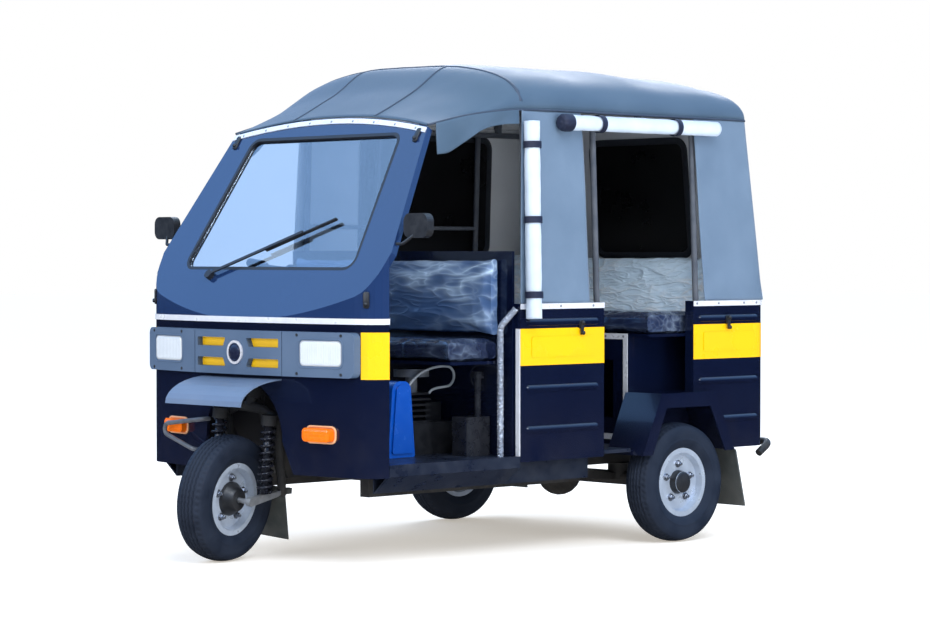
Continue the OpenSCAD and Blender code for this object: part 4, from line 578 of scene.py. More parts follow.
# Each latch's knobs: how far they stand out, and their height over the plate's middle
knob_rows = [(0.008, 0.006), (0.009, -0.034)]
latch_rows = [("mid", 0.1445, 0.905), ("rear", 1.0235, 0.912)]
for latch_name, latch_y, latch_z in latch_rows:
    spot, _ = touch("side_panels_left", (beside, latch_y, latch_z), rightward)
    place = facing(spot, leftward)
    tongue_place = shifted(place, latch_plate_thick, 0.0, -tongue_drop)
    latch_parts = [plate_shape(latch_plate, place, latch_plate_thick, latch_plate_edge),
                   plate_shape(latch_tongue, tongue_place, latch_tongue_thick, latch_tongue_edge)]
    latch_parts += [turned(knob_profile, knob_sides, shifted(place, out, 0.0, up)) for out, up in knob_rows]
    new_piece("panel_latch_" + latch_name, joined(*latch_parts), black_plastic)

# Yellow bands: gloss paint over the navy, round the nose's corner and along the side panels. They are
# sprayed on the steel pressings, so their surface is as smooth as the panels' own.
yellow_paint = toned_finish(
    "yellow_band_paint", (0.88, 0.49, 0.002), (0.76, 0.39, 0.002), scale=5.0, rough=0.28, wear=0.35,
    spread=0.1, grain=700.0, bump=0.00004, Specular_IOR_Level=0.35)
dress(yellow_paint, "yellow_bands")

# Bright strips: rolled alloy sections that clamp the canvas and edge the doorway, riveted every
# hand's width. The strip below the windscreen is bare of rivets.
strip_alloy = toned_finish(
    "strip_alloy", (0.82, 0.84, 0.90), (0.62, 0.62, 0.68), scale=26.0, rough=0.35, grain=600.0,
    bump=0.0001, Metallic=0.25)
dress(strip_alloy, "bright_strips", "seat_trim")
rivet_alloy = toned_finish(
    "rivet_alloy", (0.32, 0.33, 0.36), (0.2, 0.2, 0.22), scale=80.0, rough=0.35, spread=0.15,
    Metallic=0.7)
rivet_profile = (((-0.0005, 0.0052), (0.0012, 0.0046), (0.0021, 0.0028), (0.0024, 0.0)), 12)
strip_level, trim_level = 0.979, 0.843
header_level, header_bow, header_half = 1.7094, 0.0515, 0.580
left_stations = (-0.150, 0.030, 0.215, 0.835, 0.970, 1.130, 1.210)
right_stations = [-0.165 + 0.137 * i for i in range(11)]
back_pitch, header_pitch = 0.18, 0.13
trim_offsets = (0.012, 0.10, 0.20, 0.30, 0.40, 0.50)
# Each row of rivets: the piece, the way to it, and the places to start from
rivet_rows = [
    ("bright_strips", rightward, [(beside, y, strip_level) for y in left_stations]),
    ("bright_strips", leftward, [(-beside, y, strip_level) for y in right_stations]),
    ("bright_strips", forward, [(back_pitch * i, behind, strip_level) for i in range(-3, 4)]),
    ("bright_strips", backward, [(x, ahead, header_level - header_bow * (x / header_half) ** 2)
                                 for x in (header_pitch * i for i in range(-4, 5))]),
    ("seat_trim", backward, [(side * x, ahead, trim_level) for x in trim_offsets for side in (1, -1)]),
]
rivet_places = [facing(*touch(node, start, way)) for node, way, starts in rivet_rows for start in starts]
turned_set("strip_rivets", rivet_places, [rivet_profile], rivet_alloy)

# Nose: a grey moulded grille with yellow slot plates, a plain ringed disc, fluted headlamps, amber
# indicators in pale bezels, and a grey hood over the wheel. Screws hold the lamps' plates.
grille_plastic = toned_finish(
    "grey_grille_plastic", (0.070, 0.112, 0.185), (0.095, 0.140, 0.220), scale=9.0, rough=0.5,
    spread=0.12, grain=1500.0, bump=0.00015, Specular_IOR_Level=0.4)
dress(grille_plastic, "grille_panel")
visor_plastic = toned_finish(
    "pale_hood_plastic", (0.115, 0.165, 0.260), (0.16, 0.21, 0.31), scale=7.0, rough=0.4, spread=0.12,
    grain=1500.0, bump=0.00015)
dress(visor_plastic, "wheel_visor")
slot_yellow = toned_finish(
    "slot_yellow_paint", (0.90, 0.52, 0.004), (0.75, 0.40, 0.003), scale=12.0, rough=0.4, wear=0.4,
    spread=0.1)
dress(slot_yellow, "grille_inserts")
ring_plate = toned_finish(
    "pale_ring_plate", (0.75, 0.74, 0.78), (0.55, 0.54, 0.58), scale=60.0, rough=0.3, spread=0.15,
    Metallic=0.3)
dress(ring_plate, "grille_disc")
disc_enamel = toned_finish(
    "dark_disc_enamel", (0.010, 0.013, 0.035), (0.02, 0.025, 0.05), scale=90.0, rough=0.15, spread=0.06,
    Coat_Weight=0.5)
disc_level = 0.805
disc_profile = ((0.0, 0.0362), (0.0022, 0.0362), (0.0034, 0.0345), (0.0036, 0.031), (0.0028, 0.030),
                (0.0036, 0.029), (0.0052, 0.016), (0.0058, 0.0)), 48
disc_middle, _ = touch("grille_disc", (0.0, ahead, disc_level), backward)
turned_set("disc_face", [facing(disc_middle, forward)], [disc_profile], disc_enamel)

lamp_reflector = toned_finish(
    "lamp_reflector", (0.90, 0.92, 0.95), (0.75, 0.78, 0.82), scale=30.0, rough=0.18, spread=0.1,
    Metallic=0.6)
dress(lamp_reflector, "headlamps")
lens_glass = toned_finish(
    "fluted_lens_glass", (0.86, 0.91, 0.97), (0.76, 0.82, 0.90), scale=25.0, rough=0.07, spread=0.04,
    Transmission_Weight=0.35, Coat_Weight=0.5)
amber_lens = toned_finish(
    "amber_lens", (0.95, 0.19, 0.006), (0.75, 0.11, 0.004), scale=60.0, rough=0.15, spread=0.05,
    Coat_Weight=0.4)
dress(amber_lens, "front_indicators")
bezel_plastic = toned_finish(
    "pale_bezel_plastic", (0.80, 0.40, 0.20), (0.6, 0.3, 0.15), scale=50.0, rough=0.4, wear=0.4,
    spread=0.1)
lens_steps_up, lens_steps_across = 36, 96
lens_edge, lens_gap, lens_thick, bar_share = 0.006, 0.0004, 0.0018, 0.35


def fluted_lens(name, node, centre_x, centre_z, width, height, corner, flute, depth, bars, material, slot):
    points = []
    for i in range(lens_steps_up + 1):
        v = height * (i / lens_steps_up - 0.5)
        tuck = corner - math.sqrt(max(corner ** 2 - max(0.0, abs(v) - height / 2 + corner) ** 2, 0.0))
        for j in range(lens_steps_across + 1):
            u = (width - 2 * tuck) * (j / lens_steps_across - 0.5)
            edge = clamped(min(height / 2 - abs(v), width / 2 - tuck - abs(u)) / lens_edge)
            spot, _ = touch(node, (centre_x + u, ahead, centre_z + v), backward)
            ripple = depth * (0.5 + 0.5 * math.cos(2 * math.pi * u / flute))
            cross = bar_share * depth * (0.5 + 0.5 * math.cos(2 * math.pi * v / bars))
            points.append(spot - Vector((0, lens_gap + (lens_thick + ripple + cross) * edge, 0)))
    new_piece(name, (points, grid_faces(lens_steps_up + 1, lens_steps_across + 1)), material)


headlamp_x, headlamp_z = 0.462, 0.8101
indicator_x, indicator_z = 0.435, 0.503
# Each lens: piece, node, offset and height of its middle, width, height, corner, pitch and depth of its
# flutes, pitch of its bars, finish and slot
lens_rows = [
    ("headlamp_lens_", "headlamps", headlamp_x, headlamp_z, 0.198, 0.088, 0.016, 0.0115, 0.0013, 0.030,
     lens_glass, "lamp_lens"),
    ("indicator_lens_", "front_indicators", indicator_x, indicator_z, 0.124, 0.041, 0.013, 0.0075, 0.0012,
     0.0125, amber_lens, "amber_lens"),
]
# Each rim: piece, node, offset and height of its middle, width, height, corner, lift, thickness and finish
rim_rows = [
    ("indicator_bezel_", "front_apron", indicator_x, indicator_z, 0.144, 0.060, 0.020, 0.002, 0.0045,
     bezel_plastic),
    ("headlamp_frame_", "grille_panel", headlamp_x, headlamp_z, 0.218, 0.108, 0.022, 0.0, 0.0032,
     grille_plastic),
]
rim_sides = 8
screw_profile = ((-0.0005, 0.0062), (0.0016, 0.0058), (0.0024, 0.0042), (0.0012, 0.0036), (0.0012, 0.0)), 14
screw_offsets = [(u, v) for v in (0.068, -0.078) for u in (-0.118, 0.100)]
screw_places = []
for side_name, side in (("left", 1), ("right", -1)):
    for lens_name, node, x, z, *lens_sizes in lens_rows:
        fluted_lens(lens_name + side_name, node, side * x, z, *lens_sizes)
    for rim_name, node, x, z, rim_w, rim_h, rim_corner, lift, rim_thick, rim_finish in rim_rows:
        rim_path = [touch(node, (side * x + u, ahead, z + v), backward)[0] - Vector((0, lift, 0))
                    for u, v in rounded_loop(rim_w, rim_h, rim_corner)]
        rim_shape = tube_shape(rim_path, rim_thick, rim_sides, True)
        new_piece(rim_name + side_name, rim_shape, rim_finish)
    for u, v in screw_offsets:
        screw_start = (side * headlamp_x + u, ahead, headlamp_z + v)
        screw_places.append(facing(*touch("grille_panel", screw_start, backward)))
turned_set("grille_screws", screw_places, [screw_profile], black_plastic)

# Windscreen: one flat pane in a black rubber seal, its wiper, and mirrors on bent arms.
# Rubber catches hold the canopy's front corners and the ends of the strip below the glass.
seal_rubber = toned_finish(
    "seal_rubber", (0.010, 0.012, 0.018), (0.03, 0.033, 0.04), scale=20.0, rough=0.5, spread=0.15,
    grain=600.0, bump=0.0002)
dress(seal_rubber, "windscreen_seal", "wiper")
dress(black_plastic, "mirrors")
screen_glass = toned_finish(
    "windscreen_glass", (0.50, 0.64, 0.83), (0.44, 0.58, 0.79), scale=2.0, rough=0.02, spread=0.02,
    IOR=2.4, Transmission_Weight=1.0)
dress(screen_glass, "windscreen_glass")
mirror_glass = toned_finish(
    "mirror_glass", (0.86, 0.88, 0.90), (0.78, 0.80, 0.82), scale=10.0, rough=0.04, wear=0.3, spread=0.03,
    Metallic=1.0)
mirror_loop, mirror_thick, mirror_edge = rounded_loop(0.116, 0.078, 0.024), 0.0022, 0.001
mirror_x, mirror_z = 0.762, 1.290
catch_strap, catch_thick, catch_edge = rounded_loop(0.024, 0.062, 0.008), 0.007, 0.003
catch_knob_out, catch_knob_drop = 0.006, 0.016
catch_rows = [("canopy_catch_", 0.545, 1.638), ("cowl_catch_", 0.640, 1.012)]
for side_name, side in (("left", 1), ("right", -1)):
    spot, _ = touch("mirrors", (side * mirror_x, behind, mirror_z), forward)
    mirror_shape = plate_shape(mirror_loop, facing(spot, backward), mirror_thick, mirror_edge)
    new_piece("mirror_glass_" + side_name, mirror_shape, mirror_glass, smooth=False)
    for catch_name, catch_x, catch_z in catch_rows:
        catch = facing(*touch("front_cowl", (side * catch_x, ahead, catch_z), backward))
        catch_knob = turned(knob_profile, knob_sides, shifted(catch, catch_knob_out, 0.0, -catch_knob_drop))
        catch_shape = joined(plate_shape(catch_strap, catch, catch_thick, catch_edge), catch_knob)
        new_piece(catch_name + side_name, catch_shape, black_plastic)

# Mudflaps and tail lamps: flaps cut from grey-green rubber sheet and bolted up, and plain red
# lenses.
flap_rubber = toned_finish(
    "flap_rubber", (0.022, 0.030, 0.032), (0.055, 0.064, 0.062), scale=9.0, rough=0.6, wear=0.8,
    grain=500.0, bump=0.0003, dust=0.4)
dress(flap_rubber, "front_mudflap", "rear_mudflaps")
red_lens = toned_finish(
    "red_lens", (0.45, 0.008, 0.008), (0.30, 0.006, 0.006), scale=50.0, rough=0.18, spread=0.05,
    Coat_Weight=0.4)
dress(red_lens, "tail_lamps")
bolt_offsets, bolt_drop = (0.605, 0.665, 0.715), 0.022
bolt_profile = (((-0.0005, 0.0075), (0.004, 0.0075), (0.0048, 0.0062), (0.0048, 0.0)), 6)
bolt_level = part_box("rear_mudflaps")[1][2] - bolt_drop
bolt_starts = [(side * x, behind, bolt_level) for side in (1, -1) for x in bolt_offsets]
flap_bolts = [facing(*touch("rear_mudflaps", start, forward)) for start in bolt_starts]
turned_set("mudflap_bolts", flap_bolts, [bolt_profile], rivet_alloy, smooth=False)

# Engine bay: an iron block with cooling fins, a blue enamelled blower housing, a grey filter and a
# black tank. A pale rubber breather hose arches from the head and back into it.
engine_iron = toned_finish(
    "engine_iron", (0.007, 0.008, 0.011), (0.030, 0.031, 0.034), scale=25.0, rough=0.38, grain=300.0,
    bump=0.0005)
dress(engine_iron, "engine_block")
blue_enamel = toned_finish(
    "blue_blower_enamel", (0.0005, 0.062, 0.38), (0.003, 0.085, 0.44), scale=20.0, rough=0.25,
    spread=0.12, grain=600.0, bump=0.0001, Coat_Weight=0.4)
dress(blue_enamel, "fan_cowl")
filter_steel = toned_finish(
    "filter_steel", (0.14, 0.16, 0.19), (0.25, 0.26, 0.28), scale=30.0, rough=0.4, grain=500.0,
    bump=0.0002, Metallic=0.5)
dress(filter_steel, "air_cleaner")
tank_plastic = toned_finish(
    "tank_black_plastic", (0.010, 0.011, 0.016), (0.035, 0.037, 0.042), scale=25.0, rough=0.3,
    grain=700.0, bump=0.0002)
dress(tank_plastic, "fuel_tank")
hose_rubber = toned_finish(
    "pale_hose_rubber", (0.34, 0.38, 0.43), (0.22, 0.25, 0.28), scale=60.0, rough=0.4, spread=0.15,
    grain=500.0, bump=0.0002)
hose_diameter, hose_sides, hose_steps = 0.010, 12, 6
# Points that the hose goes through, as X, station and Z in metres
hose_route = [(0.336, 0.622, 0.632), (0.342, 0.630, 0.655), (0.356, 0.650, 0.690), (0.368, 0.682, 0.718),
              (0.374, 0.730, 0.735), (0.376, 0.780, 0.741), (0.376, 0.812, 0.740), (0.376, 0.832, 0.7346),
              (0.376, 0.8466, 0.720), (0.375, 0.852, 0.700), (0.374, 0.8466, 0.680), (0.372, 0.832, 0.6654),
              (0.369, 0.812, 0.660), (0.360, 0.780, 0.656), (0.348, 0.758, 0.648), (0.342, 0.746, 0.634)]


def smooth_path(route, steps):
    path = []
    for i in range(len(route) - 1):
        a, b = route[max(i - 1, 0)], route[i]
        c, d = route[i + 1], route[min(i + 2, len(route) - 1)]
        for k in range(steps):
            t = k / steps
            path.append(0.5 * (2 * b + (c - a) * t + (2 * a - 5 * b + 4 * c - d) * t ** 2
                               + (3 * b - a - 3 * c + d) * t ** 3))
    return path + [route[-1]]


hose_path = smooth_path([Vector((x, axle_y + station, z)) for x, station, z in hose_route], hose_steps)
hose_shape = tube_shape(hose_path, hose_diameter / 2, hose_sides)
hose = new_piece("breather_hose", hose_shape, hose_rubber)

# Seats: foam pads under navy vinyl that are still wrapped in their clear delivery film, which is
# crinkled; its shine on the crinkles is painted in as pale highlights. The pads are inflated by a cloth
# run, and rest on tray and box.
film_crinkle_and_glint, film_in, film_out = shader_group("film_crinkle_and_glint", {
    "Tint": grey, "Film Tint": grey, "Haze And Painted Glint": 0.4, "Scale": 9.0}, ("Color", "Roughness", "Height"))
film_stretch = film_crinkle_and_glint.nodes.new("ShaderNodeMapping")
film_stretch.inputs["Rotation"].default_value = (0.0, 0.35, 0.0)
film_stretch.inputs["Scale"].default_value = (0.38, 1.0, 1.35)
film_object = film_crinkle_and_glint.nodes.new("ShaderNodeTexCoord").outputs["Object"]
film_crinkle_and_glint.links.new(film_object, film_stretch.inputs["Vector"])
film_place = film_stretch.outputs["Vector"]
film_patch_scale, film_patch_gain, film_patch_offset = 3.2, 3.4, -1.25
film_rough_least, film_rough_gain = 0.12, 0.12


def film_ridge(scale_share, power, height):
    scale = math_node(film_crinkle_and_glint, "MULTIPLY", film_in["Scale"], scale_share)
    wave = noise_node(film_crinkle_and_glint, film_place, scale, detail=1.0, roughness=0.5, distortion=0.5)
    fold = math_node(film_crinkle_and_glint, "MULTIPLY_ADD", wave, 2.0, -1.0)
    fold = math_node(film_crinkle_and_glint, "ABSOLUTE", fold, 0.0)
    crest = math_node(film_crinkle_and_glint, "POWER", math_node(film_crinkle_and_glint, "SUBTRACT", 1.0, fold), power)
    return math_node(film_crinkle_and_glint, "MULTIPLY", crest, height)


film_broad = film_ridge(scale_share=1.0, power=5.0, height=0.8)
film_fine = film_ridge(scale_share=2.7, power=4.0, height=0.55)
film_height = math_node(film_crinkle_and_glint, "ADD", film_fine, film_broad)
film_patch = noise_node(film_crinkle_and_glint, film_place, film_patch_scale, detail=2.0)
film_patch = math_node(film_crinkle_and_glint, "MULTIPLY_ADD", film_patch, film_patch_gain, film_patch_offset, True)
# The crinkles' crests are mixed towards a pale tint: painted highlights, partly the milky haze of stretched
# film.
film_glint = math_node(film_crinkle_and_glint, "POWER", film_height, 2.0)
film_glint = math_node(film_crinkle_and_glint, "MULTIPLY", film_glint, film_patch)
film_glint_share = math_node(film_crinkle_and_glint, "MULTIPLY", film_glint, film_in["Haze And Painted Glint"], clamp=True)
film_colour_with_glint = mix_colour(film_crinkle_and_glint, film_glint_share, film_in["Tint"], film_in["Film Tint"])
film_rough = math_node(film_crinkle_and_glint, "MULTIPLY_ADD", film_patch, film_rough_gain, film_rough_least)
film_crinkle_and_glint.links.new(film_colour_with_glint, film_out["Color"])
film_crinkle_and_glint.links.new(film_rough, film_out["Roughness"])
film_crinkle_and_glint.links.new(film_height, film_out["Height"])


def film_finish_with_glint(name, tint, film_and_glint_tint, haze_and_painted_glint, scale, depth, strength=0.7, **sockets):
    values = {"Tint": (*tint, 1), "Film_Tint": (*film_and_glint_tint, 1), "Haze And Painted Glint": haze_and_painted_glint, "Scale": scale}
    return finish_from(name, film_crinkle_and_glint, values, depth, strength, 0.0, sockets)


inflation_frames, inflation_pressure = 20, 4.0


def inflated(mesh, cap):
    scene = bpy.context.scene
    pad = bpy.data.objects.new("pad_being_inflated", mesh)
    scene.collection.objects.link(pad)
    start = [v.co.copy() for v in mesh.vertices]
    cloth = pad.modifiers.new("inflation", "CLOTH")
    cloth.settings.quality = 4
    cloth.settings.use_pressure = True
    cloth.settings.uniform_pressure_force = inflation_pressure
    cloth.settings.effector_weights.gravity = 0.0
    cloth.point_cache.frame_start = 1
    cloth.point_cache.frame_end = inflation_frames
    for step in range(1, inflation_frames + 1):
        scene.frame_set(step)
    swollen = pad.evaluated_get(bpy.context.evaluated_depsgraph_get()).data
    moved = [v.co.copy() for v in swollen.vertices]
    scene.frame_set(1)
    bpy.data.objects.remove(pad)
    for v, a, b in zip(mesh.vertices, start, moved):
        move = b - a
        v.co = a + move * min(1.0, cap / max(move.length, 1e-9))


def remeshed(name, voxel, shrink):
    rough = bpy.data.objects.new("pad_blank", nodes[name].data.copy())
    bpy.context.scene.collection.objects.link(rough)
    block = rough.modifiers.new("blank", "REMESH")
    block.mode = "VOXEL"
    block.voxel_size = voxel
    depsgraph = bpy.context.evaluated_depsgraph_get()
    mesh = bpy.data.meshes.new_from_object(rough.evaluated_get(depsgraph))
    bpy.data.objects.remove(rough)
    mesh.update()
    moves = [v.normal * shrink for v in mesh.vertices]
    for v, move in zip(mesh.vertices, moves):
        v.co -= move
    return mesh


def ridge(p, scale, power):
    return (1 - abs(noise.noise(p * scale))) ** power


pad_voxel, pad_shrink, pad_cap = 0.011, 0.009, 0.016
seam_width, seam_depth = 0.010, 0.009
crease_scale, crease_power, crease_middle = 9.0, 4.0, 0.45
seat_coat = {"Coat_Weight": 0.5, "Coat_Roughness": 0.08}
driver_vinyl = film_finish_with_glint(
    "driver_seat_vinyl", (0.010, 0.016, 0.045), (0.20, 0.26, 0.36), haze_and_painted_glint=0.35, scale=9.0, depth=0.006,
    **seat_coat)
# The driver's backrest is tinted lighter than the navy vinyl of its cushion: painted reflection of the film
# over it.
driver_back = film_finish_with_glint(
    "driver_seat_back_painted_reflection", (0.052, 0.105, 0.240), (0.55, 0.72, 0.92), haze_and_painted_glint=0.65, scale=7.0, depth=0.008,
    **seat_coat)
bench_vinyl = film_finish_with_glint(
    "bench_vinyl", (0.010, 0.018, 0.055), (0.22, 0.28, 0.38), haze_and_painted_glint=0.4, scale=9.0, depth=0.006,
    **seat_coat)
# The bench's backrest is tinted near-white over its navy vinyl: painted reflection of the film over it.
bench_back = film_finish_with_glint(
    "bench_rest_film_painted_reflection", (0.66, 0.84, 1.00), (0.95, 0.97, 1.00), haze_and_painted_glint=1.0, scale=13.0, depth=0.010,
    **seat_coat)
# Each pad: its node, its finish, the depth of its creases and its seams across
pad_rows = [("driver_cushion", driver_vinyl, 0.0016, (-0.30, 0.30)),
            ("driver_backrest", driver_back, 0.0030, ()),
            ("passenger_cushion", bench_vinyl, 0.0016, (-0.34, 0.0, 0.34)),
            ("passenger_backrest", bench_back, 0.0034, ())]
for pad_name, pad_finish, crease, pad_seams in pad_rows:
    low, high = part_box(pad_name)
    pad_mesh = remeshed(pad_name, pad_voxel, pad_shrink)
    inflated(pad_mesh, pad_cap)
    pad_mesh.update()
    outs = [v.normal.copy() for v in pad_mesh.vertices]
    for v, out in zip(pad_mesh.vertices, outs):
        lift = crease * (ridge(v.co, crease_scale, crease_power) - crease_middle)
        for x in pad_seams:
            lift -= seam_depth * math.exp(-((v.co.x - x) / seam_width) ** 2) * max(0.0, out.z, -out.y)
        v.co += out * lift
        v.co.z = max(v.co.z, low[2])
        v.co.y = min(v.co.y, high[1])
        v.co.x = max(low[0], min(high[0], v.co.x))
    pad_mesh.materials.clear()
    pad_mesh.materials.append(pad_finish)
    pad_mesh.polygons.foreach_set("use_smooth", [True] * len(pad_mesh.polygons))
    pad = bpy.data.objects.new(pad_name + "_pad", pad_mesh)
    bpy.context.scene.collection.objects.link(pad)
    pad.modifiers.new("smooth_skin", "SUBSURF").render_levels = 1
    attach(pad, "body")
    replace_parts(pad, pad_name)

# Grab rail: steel tube at the rear edge of the driver's doorway, from the floor up to the waist. It is
# still wound in its shiny packing foil, which is torn and crinkled.
# The foil's crinkle crests are pushed to near-white: painted highlights on top of its metal shine.
foil_wrap = film_finish_with_glint(
    "foil_wrap", (0.42, 0.45, 0.52), (0.95, 0.96, 0.98), haze_and_painted_glint=1.0, scale=38.0, depth=0.004, strength=0.9,
    Metallic=0.7)
dress(foil_wrap, "grab_rail")

# Canopy frame: painted steel posts and bows inside the canvas. The posts rise from the waist to the
# roof's edge, and the bows between them hold the roof up.
frame_paint = toned_finish(
    "canopy_frame_paint", (0.060, 0.070, 0.090), (0.14, 0.15, 0.17), scale=16.0, rough=0.4, grain=500.0,
    bump=0.0002)
dress(frame_paint, "canopy_posts", "canopy_bows")

# Canopy roof: one sheet of lined vinyl stretched over the bows and clamped along the windscreen's
# header. It sags a little between the bows, and pulls into folds near its corners.
header_station, hoop_station, roof_end = 0.5197, 0.945, 2.312
seam_height, seam_half_width = 1.747, 0.665
roof_corner, roof_end_rise = 0.07, 0.168
# Rows of station, half width, edge height, crown height, lean of the section, and powers of its bow
roof_rows = [(header_station, 0.580, 1.6783, 1.7303, 0.596, 2.0, 1.0),
             (0.7111, 0.6225, 1.722, 1.828, 0.298, 2.2, 1.6),
             (hoop_station, 0.662, seam_height, 1.943, 0.0, 2.5, 2.5),
             (1.6285, seam_half_width, seam_height, 1.955, 0.0, 2.5, 2.5),
             (2.102, seam_half_width, seam_height, 1.935, 0.0, 2.5, 2.5)]
for share in (1.0, 0.55, 0.25, 0.08, 0.0):
    rounding = math.sqrt(1 - (1 - share) ** 2)
    end_half = seam_half_width - roof_corner * (1 - rounding)
    end_crown = seam_height + roof_end_rise * rounding
    roof_rows.append((roof_end - roof_corner * share, end_half, seam_height, end_crown, 0.0, 2.5, 2.5))


def smooth_row(rows, t):
    i = max(k for k in range(len(rows) - 1) if rows[k][0] <= t + 1e-9)
    span = rows[i + 1][0] - rows[i][0]
    w = (t - rows[i][0]) / span
    row = []
    for c in range(1, len(rows[0])):
        slopes = []
        for k in (i, i + 1):
            before, after = max(k - 1, 0), min(k + 1, len(rows) - 1)
            slopes.append((rows[after][c] - rows[before][c]) / (rows[after][0] - rows[before][0]) * span)
        a, b = rows[i][c], rows[i + 1][c]
        row.append(a * (2 * w ** 3 - 3 * w ** 2 + 1) + slopes[0] * (w ** 3 - 2 * w ** 2 + w)
                   + b * (3 * w ** 2 - 2 * w ** 3) + slopes[1] * (w ** 3 - w ** 2))
    return row


def roof_point(station, u):
    half, edge, crown, lean, across_power, up_power = smooth_row(roof_rows, station)
    rise = max(0.0, 1 - abs(u) ** across_power) ** (1 / up_power) * (crown - edge)
    return Vector((u * half, axle_y + station + rise * lean, edge + rise))


def ruffle(piece, height_at):
    mesh = piece.data
    mesh.update()
    moves = [v.normal * height_at(v.co) for v in mesh.vertices]
    for v, move in zip(mesh.vertices, moves):
        v.co += move


def grain_noise(p, x, y, z):
    return noise.noise(Vector((p.x * x, p.y * y, p.z * z)))


def steps_between(first, last, steps, whole=True):
    return [first + (last - first) * i / steps for i in range(steps + whole)]


def thicken(piece, thickness, lining=None):
    shell = piece.modifiers.new("thickness", "SOLIDIFY")
    shell.thickness = thickness
    shell.offset = -1.0
    if lining is not None:
        piece.data.materials.append(lining)
        shell.material_offset = 1
        shell.material_offset_rim = 0


roof_columns, roof_crowding, roof_thick = 57, 0.8, 0.004
roof_end_shares = (1.0, 0.8, 0.62, 0.46, 0.32, 0.2, 0.11, 0.05, 0.015, 0.0)
roof_stations = steps_between(header_station, hoop_station, 24, False)
roof_stations += steps_between(hoop_station, roof_end - roof_corner, 60, False)
roof_stations += [roof_end - roof_corner * share for share in roof_end_shares]
roof_u = []
for j in range(roof_columns):
    c = -math.cos(math.pi * j / (roof_columns - 1))
    roof_u.append(math.copysign(abs(c) ** roof_crowding, c))
roof_points = [roof_point(station, u) for station in roof_stations for u in roof_u]
bow_places = [axle_y + station for station in (0.957, 1.6285, 2.09, 2.30)]
sag_depth, sag_fade = 0.007, 0.15
roof_wave, roof_pull = 0.0025, 0.0014
pull_start, pull_fade = 1.70, 0.05


def roof_folds(p):
    sag = 0.0
    for a, b in zip(bow_places, bow_places[1:]):
        if a < p.y < b:
            slack = math.sin(math.pi * (p.y - a) / (b - a)) ** 2
            sag = -sag_depth * slack * min(1.0, (p.z - seam_height) / sag_fade)
    broad = roof_wave * grain_noise(p, 4.0, 6.0, 4.0)
    pulls = roof_pull * grain_noise(p, 14.0, 3.0, 14.0) * clamped((p.z - pull_start) / pull_fade)
    return sag + broad + pulls


# The roof's vinyl is tinted darker than the walls' copy of the same vinyl: painted shade on the roof and
# its valances.
roof_vinyl_painted_shade = toned_finish(
    "canopy_vinyl", (0.046, 0.084, 0.134), (0.070, 0.118, 0.180), scale=3.5, rough=0.5, wear=0.75,
    spread=0.16, grain=1400.0, bump=0.0005, Sheen_Weight=0.1, Specular_IOR_Level=0.4)
lining_cloth = toned_finish(
    "canopy_lining", (0.56, 0.58, 0.60), (0.45, 0.47, 0.50), scale=5.0, rough=0.8, wear=0.6, spread=0.1,
    grain=1400.0, bump=0.0004)
roof_shape = roof_points, grid_faces(len(roof_stations), roof_columns)
roof_piece = new_piece("canopy_roof_sheet", roof_shape, roof_vinyl_painted_shade)
ruffle(roof_piece, roof_folds)
thicken(roof_piece, roof_thick, lining_cloth)
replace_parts(roof_piece, "canopy_roof")

# Canopy seams: a folded welt of the same vinyl over the front bow, two more down the front slope, and
# a piped edge where the roof meets the side canvas.
seam_half, seam_rise, slope_seam_half = 0.009, 0.0032, 0.0063
piping_half, piping_rise, piping_end = 0.005, 0.004, 2.29
slope_seam_inset, slope_seam_u = 0.004, (0.42, 0.36)
hoop_seam_u, normal_step, side_slope = 0.995, 0.004, 0.3
# Section of a welt: shares of its half width and of its rise
welt_shares = ((-1.0, -0.6), (-0.8, 0.8), (0.0, 1.0), (0.8, 0.8), (1.0, -0.6))
# The welts are tinted darker than the roof's vinyl they are made of: painted shade in their folds.
seam_vinyl_painted_shade = toned_finish(
    "seam_vinyl_painted_shade", (0.030, 0.045, 0.075), (0.06, 0.08, 0.12), scale=20.0, rough=0.5, wear=0.6, spread=0.15,
    grain=1400.0, bump=0.0004)


def seam_strip(name, line, half_width, rise):
    points = []
    for i, (place, normal) in enumerate(line):
        p = place + normal * roof_folds(place)
        way = (line[min(i + 1, len(line) - 1)][0] - line[max(i - 1, 0)][0]).normalized()
        side = way.cross(normal).normalized()
        for across, up in welt_shares:
            points.append(p + side * half_width * across + normal * rise * up)
    shape = points, grid_faces(len(line), len(welt_shares), False, True)
    new_piece(name, shape, seam_vinyl_painted_shade)


def roof_line(places):
    line = []
    for station, u in places:
        right, left = max(-1.0, u - normal_step), min(1.0, u + normal_step)
        before, after = max(station - normal_step, header_station), min(station + normal_step, roof_end)
        across = roof_point(station, left) - roof_point(station, right)
        normal = (roof_point(after, u) - roof_point(before, u)).cross(across).normalized()
        if normal.z < 0 and not (abs(normal.z) < side_slope and normal.x * u > 0):
            normal = -normal
        line.append((roof_point(station, u), normal))
    return line


hoop_line = roof_line([(hoop_station, u) for u in steps_between(-hoop_seam_u, hoop_seam_u, 60)])
seam_strip("canopy_hoop_seam", hoop_line, seam_half, seam_rise)
slope_stations = steps_between(header_station + slope_seam_inset, hoop_station - slope_seam_inset, 24)
for seam_side, seam_name in ((1, "left"), (-1, "right")):
    slope_line = roof_line(zip(slope_stations, [seam_side * u for u in steps_between(*slope_seam_u, 24)]))
    seam_strip("canopy_slope_seam_" + seam_name, slope_line, slope_seam_half, seam_rise)
    edge_line = [(roof_point(station, seam_side), Vector((seam_side, 0, 0)))
                 for station in steps_between(header_station, piping_end, 80)]
    seam_strip("canopy_edge_piping_" + seam_name, edge_line, piping_half, piping_rise)

